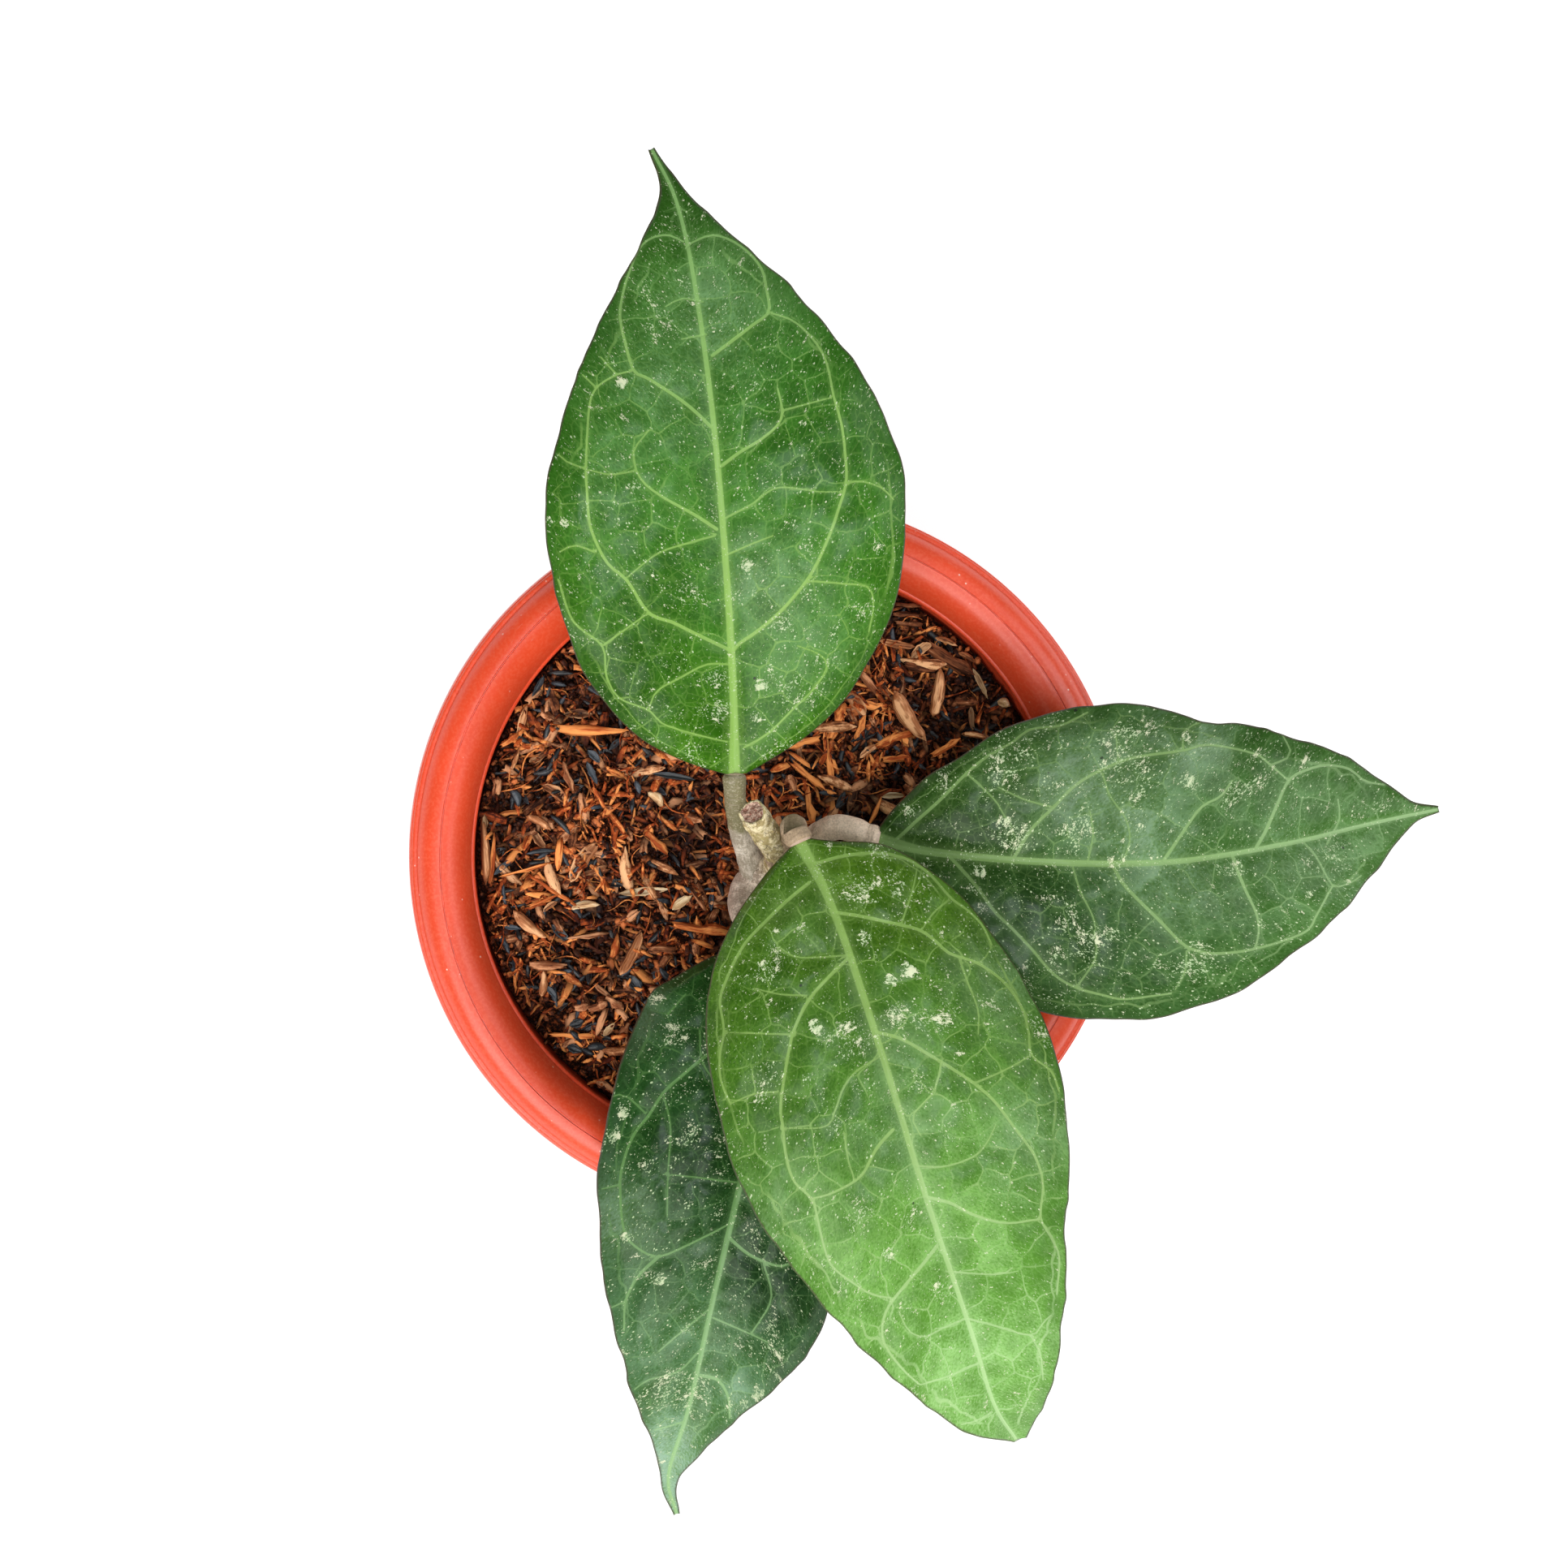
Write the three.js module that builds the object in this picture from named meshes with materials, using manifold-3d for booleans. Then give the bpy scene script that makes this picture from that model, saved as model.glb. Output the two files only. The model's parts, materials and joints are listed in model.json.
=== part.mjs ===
// Potted hoya plant: a young hoya cutting with four thick, waxy leaves in a round nursery pot.
// Millimetres, +Z up. The origin is the centre of the pot's flat foot, on the ground.
// +X and +Y span the ground: one leaf reaches towards +Y, one towards +X and two towards -Y.
import * as THREE from "three";
import { mergeVertices } from "three/addons/utils/BufferGeometryUtils.js";
import Module from "manifold-3d";

const wasm = await Module();
wasm.setup();

// Driving dimensions of the pot.
const POT_HEIGHT = 98;
const POT_SIDES = 48;
const FOOT_RADIUS = 39;
const FOOT_ROUND = 1.2;
const FLOOR_THICKNESS = 3;
const WALL_THICKNESS = 1.7;
const WALL_FLARE = 0.111; // growth of the wall's radius for each millimetre of height
const RIM_RADIUS = 57.5;
const RIM_SKIRT = 11; // depth of the rolled rim below its crown
const RIM_WALL = 1.6;
const RIM_BEAD = [
  [0, 4],
  [0.6, 3.1],
  [1.3, 2.7],
]; // the bead on the rim's outer edge: in from the rim's radius, and down from its crown
const CROWN_RADIUS = 52.6; // where the two halves of the mould part, on top of the rim
const CROWN_ROUND = 2.6;
const SKIRT_FLARE = 5; // height over which the rim's inside rounds into its skirt
const SKIRT_CHAMFER = [0.3, 1];
const LIP_RADIUS = 47.1;
const LIP_BELOW_CROWN = 4.6;
const LIP_STEP = 0.5; // how far the lip stands in from the slope above it
const LIP_EDGE = 0.4;
const LEDGE_DEPTH = 2; // from the lip down to where the plain wall begins
const SLOPE_FULLNESS = [1.4, 0.2]; // how full the slope from crown to lip is, sideways and down
const PROFILE_STEPS = 3; // straight stretches in each curve of the section
const DRAIN_HOLES = 6;
const DRAIN_HOLE_RADIUS = 4;
const DRAIN_CIRCLE_RADIUS = 24;
const DRAIN_CHANNEL_WIDTH = 5;
const DRAIN_CHANNEL_DEPTH = 1.5;
const DRAIN_SIDES = 20;

// Driving dimensions of the potting mix.
const FIT_GAP = 0.3; // clearance between neighbouring pieces
const MIX_LEVEL = 88.3;
const MIX_RELIEF = 0.9;
const MIX_RINGS = 9;
const MIX_SHOULDER = 3; // how far the mix's sides end below its level
const MIX_FOOT = 2; // height and width of the slope round the pot's floor
const HUSK_COUNT = 26;
const HUSK_HALF_SIZE = [4.7, 1.4, 1.2];
const BARK_COUNT = 9;
const BARK_SIZE = [5.5, 3.6, 1.8];
const FIBRE_COUNT = 9;
const FIBRE_SIZE = [0.8, 9];
const FIBRE_SIDES = 5;
const BARK_GROWTH = [0.7, 1.4]; // smallest and largest, as a share of BARK_SIZE
const SCRAP_TIP = [0.5, 0.35]; // how far scraps tip about their length and their width, in radians
const SCRAP_RAISE = 0.1;
const CRUMB_REACH = 41; // husks, bark and fibres have their centres inside this radius
const MIX_SEED = 20;

// Driving dimensions of the blades.
const BLADE_THICKNESS = 1;
const KEEL_DEPTH = 1.1; // the midrib's extra depth under the blade at its base
const KEEL_HALF_WIDTH = 1.8;
const QUILT_HEIGHT = 0.8; // rise of the blade between its side ribs
const MARGIN_ROLL = 1.3; // how far the blade's margin turns down
const TIP_SWEEP = 0.55; // how far a side rib runs forward for each millimetre it runs sideways
const SWEEP_BEND = 0.6; // share of a side rib's sweep that comes towards the margin
const CUP_FADE = [0.2, 0.75]; // places between which the cupped base goes over to the drooping front
const WAVE_LAG = 1.7; // how much earlier the waves come on the left margin
const KEEL_TAPER = 0.8;
const ROWS_PER_RIB = 4;

// Places across a half blade, from the midrib at 0 to the margin at 1. The side ribs close in an
// arch at NET_ARCH.
const NET_ARCH = 0.8;
const HALF_COLUMNS = [0, 0.09, 0.26, 0.45, 0.64, NET_ARCH, 0.92, 1];

// Places along a blade, from base to tip, at which its half widths are given.
const STATIONS = [0, 0.02, 0.05, 0.1, 0.17, 0.25, 0.35, 0.45, 0.55, 0.65, 0.75, 0.84, 0.9, 0.95, 1];

// The four leaves. A blade has its midrib's points from base to tip, its half widths on the left and
// right of the midrib at the stations, how far its rows sweep forward at the base, how far its sides
// droop and how far they rise in a cup near the base, its margin's waves, and the places along the
// midrib where side ribs leave it.
// A petiole has its route from the vine to the blade and its radius at both ends.
const LEAVES = {
  back: {
    green: 0x3f7a35,
    petioleColour: 0x8a8058,
    midrib: [
      [-7.5, 14, 117.5],
      [-8, 27.5, 121],
      [-9.5, 47, 125.5],
      [-11.5, 68.5, 127],
      [-14, 88.5, 124],
      [-16.5, 101.5, 119.5],
      [-20, 110, 115],
    ],
    left: [1.5, 8, 14.5, 20.5, 24.5, 26.5, 26.5, 23, 19, 14.5, 9.5, 5, 2.3, 1, 0.5],
    right: [2, 6, 11.5, 18.5, 24.5, 27.5, 28, 24.5, 20, 15, 9.3, 4.5, 2, 1, 0.5],
    baseSweep: 0,
    droop: 4.5,
    cup: 8,
    waves: 5,
    waveHeight: 0.7,
    wavePhase: 0.5,
    ribs: [0.06, 0.21, 0.37, 0.52, 0.66, 0.82],
    petiole: [
      [-2.4, -2.2, 103],
      [-4.3, 0.7, 106.2],
      [-5.9, 4.3, 109.8],
      [-6.9, 8.4, 113.2],
    ],
    petioleRadii: [2.1, 1.7],
  },
  right: {
    green: 0x2c5a3c,
    petioleColour: 0x8f8374,
    midrib: [
      [14.5, 4, 121],
      [23, 2, 123],
      [41, 0.5, 125.5],
      [59.5, 0.5, 125],
      [77.5, 3, 122.5],
      [92.5, 6, 117.5],
      [103.5, 8, 115],
    ],
    left: [2, 6, 10.5, 14.5, 20.5, 24, 24.5, 21.5, 19.5, 16, 12.5, 8, 4.5, 1.8, 0.5],
    right: [1.5, 2, 5.5, 12, 19, 23.5, 24, 22, 18.5, 15, 10.5, 6.5, 3.5, 1.3, 0.5],
    baseSweep: -0.12,
    droop: 5,
    cup: 6,
    waves: 6,
    waveHeight: 0.7,
    wavePhase: 1.8,
    ribs: [0.05, 0.2, 0.38, 0.53, 0.68, 0.83],
    petiole: [
      [-0.2, -0.3, 108.6],
      [2.4, 1, 109.8],
      [5.4, 4, 113.8],
      [8, 5.7, 117.6],
      [11, 5.3, 119.3],
    ],
    petioleRadii: [1.9, 1.95],
  },
  front: {
    green: 0x4a8a34,
    petioleColour: 0x8c7d6d,
    midrib: [
      [1.5, 4, 131],
      [6.5, -7, 134.5],
      [13, -27, 137.5],
      [20, -49.5, 137],
      [27.5, -70.5, 131.5],
      [32, -83, 125],
      [36.5, -90, 117.5],
    ],
    left: [1.5, 5, 11, 17, 22, 25, 25.5, 23, 19.3, 16.5, 13, 9.5, 7, 4.5, 1.5],
    right: [1.5, 7.5, 14.5, 20.5, 24, 26, 26, 23, 19.5, 16, 12, 8, 5, 2.5, 0.5],
    baseSweep: 0,
    droop: 6,
    cup: 3,
    waves: 6,
    waveHeight: 0.8,
    wavePhase: 0.9,
    ribs: [0.04, 0.17, 0.33, 0.49, 0.64, 0.8],
    petiole: [
      [-0.2, 0.9, 113.6],
      [0.9, 2.9, 117.4],
      [1.3, 4.8, 121.5],
      [0.8, 5.9, 126],
      [0.6, 6.1, 129.1],
    ],
    petioleRadii: [1.9, 2.05],
  },
  low: {
    green: 0x27503c,
    petioleColour: 0x9a8c7d,
    midrib: [
      [-2, -13.5, 113],
      [-1.5, -24, 116.5],
      [-6, -46.5, 117.5],
      [-10.5, -67, 115],
      [-14, -85, 110],
      [-17, -97, 105],
      [-15.5, -104, 101],
    ],
    left: [1.5, 5, 7, 9, 11, 13.5, 16.5, 18.5, 17, 12.8, 7.5, 4, 2, 1, 0.5],
    right: [1.5, 9, 15, 19, 21, 22, 21.5, 18.5, 15.3, 11.7, 8, 3.8, 1.5, 1, 0.5],
    baseSweep: -0.25,
    droop: 5,
    cup: 2,
    waves: 5,
    waveHeight: 0.7,
    wavePhase: 2.6,
    ribs: [0.08, 0.24, 0.4, 0.55, 0.7, 0.85],
    petiole: [
      [-2.6, -2.7, 102.8],
      [-4.9, -4.4, 103.4],
      [-5.8, -7.2, 105.2],
      [-4.7, -10, 108],
    ],
    petioleRadii: [2, 1.8],
  },
};

// The vine's middle line from its buried root end, over two leaf nodes, to its cut top end.
const VINE_ROUTE = [
  [2, -7, 60],
  [1, -6, 80],
  [-1.2, -4.2, 95],
  [-2.5, -2.6, 102.5],
  [-0.9, -1, 107],
  [0.2, 0.5, 111.5],
  [-2.1, 3.8, 119.5],
  [-5.35, 8.3, 125.5],
];
const VINE_RADIUS = 2.15;
const VINE_NODES = [
  { height: 102.6, swelling: 0.75, spread: 2.2 },
  { height: 111.2, swelling: 0.55, spread: 2 },
];
const VINE_SIDES = 12;
const VINE_STEPS = 34;
const PETIOLE_SIDES = 10;
const PETIOLE_STEPS = 15;

const POT_COLOUR = 0xc8402a;
const MIX_COLOUR = 0x4a2a1a;
const VINE_COLOUR = 0xb9a98a;

// A repeatable stream of numbers from 0 to 1.
function randomStream(seed) {
  let state = seed;
  return () => {
    state = (state + 0x6d2b79f5) | 0;
    let mixed = Math.imul(state ^ (state >>> 15), 1 | state);
    mixed = (mixed + Math.imul(mixed ^ (mixed >>> 7), 61 | mixed)) ^ mixed;
    return ((mixed ^ (mixed >>> 14)) >>> 0) / 4294967296;
  };
}

function smoothStep(low, high, value) {
  return THREE.MathUtils.smoothstep(value, low, high);
}

// A geometry as a closed solid for joining and cutting.
function solidOf(geometry) {
  const bare = geometry.clone();
  bare.deleteAttribute("normal");
  bare.deleteAttribute("uv");
  const merged = mergeVertices(bare, 1e-4);
  return new wasm.Manifold(
    new wasm.Mesh({
      numProp: 3,
      vertProperties: new Float32Array(merged.attributes.position.array),
      triVerts: new Uint32Array(merged.index.array),
    }),
  );
}

function geometryOf(solid) {
  const mesh = solid.getMesh();
  const geometry = new THREE.BufferGeometry();
  geometry.setAttribute("position", new THREE.BufferAttribute(mesh.vertProperties, 3));
  geometry.setIndex(new THREE.BufferAttribute(mesh.triVerts, 1));
  geometry.computeVertexNormals();
  return geometry;
}

// A closed skin over rings of equally many points, with a fan over the first and the last ring.
// From turnedFrom on, the quads of a ring are split along their other diagonal.
function loft(rings, turnedFrom = Infinity) {
  const count = rings[0].length;
  const middle = (ring) =>
    ring.reduce((sum, point) => sum.add(point), new THREE.Vector3()).divideScalar(count);
  const points = [...rings.flat(), middle(rings[0]), middle(rings[rings.length - 1])];
  const startMiddle = points.length - 2;
  const endMiddle = points.length - 1;
  const lastRing = (rings.length - 1) * count;
  const faces = [];
  for (let side = 0; side < count; side++) {
    const next = (side + 1) % count;
    faces.push(startMiddle, next, side);
    faces.push(endMiddle, lastRing + side, lastRing + next);
    for (let start = 0; start < lastRing; start += count) {
      const [a, b] = [start + side, start + next];
      const [c, d] = [a + count, b + count];
      if (side < turnedFrom) faces.push(a, b, d, a, d, c);
      else faces.push(a, b, c, b, d, c);
    }
  }
  const geometry = new THREE.BufferGeometry().setFromPoints(points);
  geometry.setIndex(faces);
  geometry.computeVertexNormals();
  return geometry;
}

function curveThrough(points) {
  return new THREE.CatmullRomCurve3(
    points.map((point) => new THREE.Vector3(...point)),
    false,
    "catmullrom",
    0.5,
  );
}

// A closed tube along a curve, whose radius depends on the place along it.
function tubeAlong(curve, radiusAt, steps, sides) {
  const frames = curve.computeFrenetFrames(steps);
  const rings = [];
  for (let step = 0; step <= steps; step++) {
    const centre = curve.getPointAt(step / steps);
    const radius = radiusAt(step / steps, centre);
    const ring = [];
    for (let side = 0; side < sides; side++) {
      const angle = (2 * Math.PI * side) / sides;
      ring.push(
        centre
          .clone()
          .addScaledVector(frames.normals[step], radius * Math.cos(angle))
          .addScaledVector(frames.binormals[step], radius * Math.sin(angle)),
      );
    }
    rings.push(ring);
  }
  return loft(rings);
}

// ---- Pot ----

function wallRadius(height) {
  return FOOT_RADIUS + WALL_FLARE * height;
}

// The pot's section from the axis under its floor, up the outside, over the rolled rim and down the
// inside. The rim is open underneath, where its skirt hangs clear of the wall.
function potSection() {
  const skirtFoot = POT_HEIGHT - RIM_SKIRT;
  const lipHeight = POT_HEIGHT - LIP_BELOW_CROWN;
  const crownHeight = POT_HEIGHT - RIM_WALL;
  const section = new THREE.Path();
  section.moveTo(0, 0);
  section.lineTo(FOOT_RADIUS - FOOT_ROUND, 0);
  section.quadraticCurveTo(FOOT_RADIUS, 0, FOOT_RADIUS, FOOT_ROUND);
  const ledgeFoot = lipHeight - LEDGE_DEPTH;
  const insideRim = RIM_RADIUS - RIM_WALL;
  section.lineTo(wallRadius(ledgeFoot), ledgeFoot);
  section.quadraticCurveTo(wallRadius(lipHeight), crownHeight, CROWN_RADIUS, crownHeight);
  section.quadraticCurveTo(insideRim, crownHeight, insideRim, skirtFoot + SKIRT_FLARE);
  section.lineTo(insideRim, skirtFoot);
  section.lineTo(RIM_RADIUS - SKIRT_CHAMFER[0], skirtFoot);
  section.lineTo(RIM_RADIUS, skirtFoot + SKIRT_CHAMFER[1]);
  for (const [inward, down] of RIM_BEAD) section.lineTo(RIM_RADIUS - inward, POT_HEIGHT - down);
  section.quadraticCurveTo(RIM_RADIUS - CROWN_ROUND, POT_HEIGHT, CROWN_RADIUS, POT_HEIGHT);
  section.quadraticCurveTo(
    LIP_RADIUS + SLOPE_FULLNESS[0],
    POT_HEIGHT - SLOPE_FULLNESS[1],
    LIP_RADIUS + LIP_STEP,
    lipHeight,
  );
  section.lineTo(LIP_RADIUS, lipHeight - LIP_EDGE);
  section.lineTo(LIP_RADIUS, ledgeFoot + LIP_EDGE);
  section.lineTo(wallRadius(ledgeFoot) - WALL_THICKNESS, ledgeFoot);
  section.lineTo(wallRadius(FLOOR_THICKNESS + MIX_FOOT) - WALL_THICKNESS, FLOOR_THICKNESS + MIX_FOOT);
  section.lineTo(wallRadius(FLOOR_THICKNESS) - WALL_THICKNESS - MIX_FOOT, FLOOR_THICKNESS);
  section.lineTo(0, FLOOR_THICKNESS);
  return section.getPoints(PROFILE_STEPS);
}

function potGeometry() {
  const shell = new THREE.LatheGeometry(potSection(), POT_SIDES).rotateX(Math.PI / 2);
  let pot = solidOf(shell);
  const hole = new THREE.CylinderGeometry(DRAIN_HOLE_RADIUS, DRAIN_HOLE_RADIUS, 4 * FLOOR_THICKNESS, DRAIN_SIDES);
  hole.rotateX(Math.PI / 2);
  hole.translate(DRAIN_CIRCLE_RADIUS, 0, 0);
  const channelLength = FOOT_RADIUS + 2 - DRAIN_CIRCLE_RADIUS;
  const channel = new THREE.BoxGeometry(channelLength, DRAIN_CHANNEL_WIDTH, 2 * DRAIN_CHANNEL_DEPTH);
  channel.translate(DRAIN_CIRCLE_RADIUS + channelLength / 2, 0, 0);
  const drain = solidOf(hole).add(solidOf(channel));
  for (let index = 0; index < DRAIN_HOLES; index++)
    pot = pot.subtract(drain.rotate([0, 0, (360 * index) / DRAIN_HOLES]));
  return geometryOf(pot);
}

// ---- Potting mix ----

function mixHeight(x, y) {
  const slow = Math.sin(0.21 * x + 1.3) * Math.cos(0.17 * y - 0.6);
  const quick = Math.sin(0.63 * x - 0.41 * y) * Math.cos(0.55 * y + 0.37 * x + 2);
  return MIX_LEVEL + MIX_RELIEF * (0.6 * slow + 0.5 * quick);
}

// The body of the mix: a rough top on rings round the axis, and sides that follow the pot's wall.
function mixBody() {
  const sideRadius = (height) => wallRadius(height) - WALL_THICKNESS - FIT_GAP;
  const ringAt = (radius, heightAt) => {
    const ring = [];
    for (let side = 0; side < POT_SIDES; side++) {
      const angle = (2 * Math.PI * side) / POT_SIDES;
      const [x, y] = [radius * Math.cos(angle), radius * Math.sin(angle)];
      ring.push(new THREE.Vector3(x, y, heightAt(x, y)));
    }
    return ring;
  };
  const floor = FLOOR_THICKNESS + FIT_GAP;
  const shoulder = MIX_LEVEL - MIX_SHOULDER;
  const rings = [
    ringAt(sideRadius(floor) - MIX_FOOT - FIT_GAP, () => floor),
    ringAt(sideRadius(floor + MIX_FOOT), () => floor + MIX_FOOT),
    ringAt(sideRadius(shoulder), () => shoulder),
  ];
  for (let ring = MIX_RINGS; ring > 0; ring--)
    rings.push(ringAt((sideRadius(shoulder) * ring) / MIX_RINGS, mixHeight));
  return solidOf(loft(rings));
}

// One loose scrap, laid on the mix at a drawn place, turned and tipped, and sunk by half.
function layScrap(scrap, random) {
  const radius = CRUMB_REACH * Math.sqrt(random());
  const angle = 2 * Math.PI * random();
  const [x, y] = [radius * Math.cos(angle), radius * Math.sin(angle)];
  scrap.rotateX((random() - 0.5) * SCRAP_TIP[0]);
  scrap.rotateY((random() - 0.5) * SCRAP_TIP[1]);
  scrap.rotateZ(2 * Math.PI * random());
  scrap.translate(x, y, mixHeight(x, y) + SCRAP_RAISE);
  return solidOf(scrap);
}

function mixGeometry(stemHole) {
  const random = randomStream(MIX_SEED);
  let mix = mixBody();
  for (let index = 0; index < HUSK_COUNT; index++) {
    const husk = new THREE.OctahedronGeometry(1, 0).scale(...HUSK_HALF_SIZE);
    mix = mix.add(layScrap(husk, random));
  }
  for (let index = 0; index < BARK_COUNT; index++) {
    const grow = THREE.MathUtils.lerp(...BARK_GROWTH, random());
    const bark = new THREE.BoxGeometry(...BARK_SIZE).scale(grow, grow, 1);
    mix = mix.add(layScrap(bark, random));
  }
  for (let index = 0; index < FIBRE_COUNT; index++) {
    const [radius, length] = FIBRE_SIZE;
    const fibre = new THREE.CylinderGeometry(radius, radius / 2, length, FIBRE_SIDES);
    fibre.rotateZ(Math.PI / 2);
    mix = mix.add(layScrap(fibre, random));
  }
  return geometryOf(mix.subtract(stemHole));
}

// ---- Vine ----

const vineCurve = curveThrough(VINE_ROUTE);

function vineRadius(place, centre) {
  const swelling = VINE_NODES.map(
    (node) => node.swelling * Math.exp(-(((centre.z - node.height) / node.spread) ** 2)),
  );
  return VINE_RADIUS + swelling.reduce((sum, value) => sum + value, 0);
}

function vineGeometry() {
  return tubeAlong(vineCurve, vineRadius, VINE_STEPS, VINE_SIDES);
}

// The room that the vine takes up, with its fit gap all round and past its root end.
function vineRoom() {
  const [root, next] = VINE_ROUTE.slice(0, 2).map((point) => new THREE.Vector3(...point));
  const past = root.clone().sub(next).setLength(FIT_GAP);
  const deeper = root.add(past).toArray();
  const curve = curveThrough([deeper, ...VINE_ROUTE.slice(1)]);
  const roomRadius = (place, centre) => vineRadius(place, centre) + FIT_GAP;
  return solidOf(tubeAlong(curve, roomRadius, VINE_STEPS, VINE_SIDES));
}

// ---- Leaves ----

// A value between the stations of a blade, on a smooth curve through the listed values.
function tableAt(values, place) {
  const last = STATIONS.length - 1;
  let index = 0;
  while (index < last - 1 && place > STATIONS[index + 1]) index++;
  const slope = (at) => {
    const [low, high] = [Math.max(at - 1, 0), Math.min(at + 1, last)];
    return (values[high] - values[low]) / (STATIONS[high] - STATIONS[low]);
  };
  const span = STATIONS[index + 1] - STATIONS[index];
  const u = (place - STATIONS[index]) / span;
  const start = (1 + 2 * u) * (1 - u) ** 2 * values[index] + u * (1 - u) ** 2 * span * slope(index);
  const end = u * u * (3 - 2 * u) * values[index + 1] - u * u * (1 - u) * span * slope(index + 1);
  return start + end;
}

// How far a point of the blade lies from the nearest side rib, as a rise from 0 to 1.
function quiltAt(leaf, place, across) {
  const marks = [0, ...leaf.ribs, 1];
  let index = 0;
  while (index < marks.length - 2 && place > marks[index + 1]) index++;
  const along = Math.sin((Math.PI * (place - marks[index])) / (marks[index + 1] - marks[index]));
  const sideways =
    across < NET_ARCH
      ? Math.sin((Math.PI * across) / NET_ARCH) ** 0.6
      : 0.5 * Math.sin((Math.PI * (across - NET_ARCH)) / (1 - NET_ARCH));
  return along * sideways;
}

// A point on the upper face of a blade: place runs from base to tip, side from -1 on the right
// margin over 0 on the midrib to 1 on the left margin.
function bladePoint(leaf, curve, place, side) {
  const middle = curve.getPointAt(place);
  const along = curve.getTangentAt(place).setZ(0).normalize();
  const outward = new THREE.Vector3(-along.y, along.x, 0).multiplyScalar(Math.sign(side));
  const across = Math.abs(side);
  const halfWidth = tableAt(side < 0 ? leaf.right : leaf.left, place);
  const widest = Math.max(...leaf.left);
  const sweep = leaf.baseSweep + (TIP_SWEEP - leaf.baseSweep) * Math.min(1, 2 * place) ** 0.8;
  const forward = halfWidth * sweep * ((1 - SWEEP_BEND) * across + SWEEP_BEND * across ** 2);
  const wave = Math.sin(2 * Math.PI * leaf.waves * place + leaf.wavePhase + WAVE_LAG * side);
  const breadth = halfWidth / widest;
  const cup = leaf.cup * across * (1 - smoothStep(...CUP_FADE, place));
  const quilt = QUILT_HEIGHT * quiltAt(leaf, place, across) * Math.min(1, 1.5 * breadth);
  const roll = MARGIN_ROLL * smoothStep(NET_ARCH, 1, across);
  const rise =
    quilt + breadth * (cup + leaf.waveHeight * wave * across ** 3 - leaf.droop * across ** 2 - roll);
  return middle
    .addScaledVector(outward, halfWidth * across)
    .addScaledVector(along, forward)
    .add(new THREE.Vector3(0, 0, rise));
}

// How deep the blade is at a place: the margin is thinner, and the midrib stands out below as a keel.
function bladeDepth(leaf, place, side) {
  const offset = Math.abs(side) * tableAt(side < 0 ? leaf.right : leaf.left, place);
  const taper = 1 - KEEL_TAPER * place;
  const keel = KEEL_DEPTH * taper * Math.max(0, 1 - (offset / KEEL_HALF_WIDTH) ** 2);
  return BLADE_THICKNESS + keel;
}

function bladeGeometry(leaf) {
  const curve = curveThrough(leaf.midrib);
  const marks = [0, ...leaf.ribs, 1];
  const places = [];
  for (let rib = 0; rib < marks.length - 1; rib++)
    for (let row = 0; row < ROWS_PER_RIB; row++)
      places.push(marks[rib] + ((marks[rib + 1] - marks[rib]) * row) / ROWS_PER_RIB);
  places.push(1);
  const rightColumns = HALF_COLUMNS.slice(1).map((value) => -value);
  const sides = [...HALF_COLUMNS.toReversed(), ...rightColumns];
  const rings = places.map((place) => {
    const upper = sides.map((side) => bladePoint(leaf, curve, place, side));
    const lower = upper.map((point, index) =>
      point.clone().setZ(point.z - bladeDepth(leaf, place, sides[index])),
    );
    return [...upper, ...lower.reverse()];
  });
  return loft(rings, sides.length - 1);
}

// A petiole runs on into its blade's midrib and ends one fit gap short of the blade.
function petioleGeometry(leaf, room) {
  const curve = curveThrough(leaf.midrib);
  const base = curve.getPointAt(0);
  const heading = curve.getTangentAt(0);
  const [rootRadius, endRadius] = leaf.petioleRadii;
  const setBack = FIT_GAP + endRadius * heading.z + Math.abs(leaf.baseSweep) * leaf.left[0];
  const halfDepth = (BLADE_THICKNESS + KEEL_DEPTH) / 2;
  const end = base.clone().addScaledVector(heading, -setBack);
  end.z -= halfDepth;
  const beforeEnd = end.clone().addScaledVector(heading, -1.2);
  const route = [...leaf.petiole, beforeEnd.toArray(), end.toArray()];
  const radiusAt = (place) => endRadius + (rootRadius - endRadius) * (1 - smoothStep(0, 0.5, place));
  const tube = tubeAlong(curveThrough(route), radiusAt, PETIOLE_STEPS, PETIOLE_SIDES);
  return geometryOf(solidOf(tube).subtract(room));
}

// ---- Assembly ----

const group = new THREE.Group();

function addPiece(name, geometry, color, roughness) {
  const material = new THREE.MeshStandardMaterial({ color, roughness, metalness: 0 });
  const mesh = new THREE.Mesh(geometry, material);
  mesh.name = name;
  group.add(mesh);
}

const room = vineRoom();
addPiece("pot", potGeometry(), POT_COLOUR, 0.45);
addPiece("potting_mix", mixGeometry(room), MIX_COLOUR, 0.95);
addPiece("vine_stem", vineGeometry(), VINE_COLOUR, 0.9);
for (const [name, leaf] of Object.entries(LEAVES)) {
  addPiece("petiole_" + name, petioleGeometry(leaf, room), leaf.petioleColour, 0.7);
  addPiece("leaf_" + name, bladeGeometry(leaf), leaf.green, 0.4);
}

export default group;
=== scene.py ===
"""Potted hoya plant: the finished look of a young hoya in a round nursery pot.

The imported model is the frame. Every size here is in millimetres until a mesh is made from it.
"""

import json
import math

import bpy
import numpy as np
from mathutils import Matrix, Vector

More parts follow.
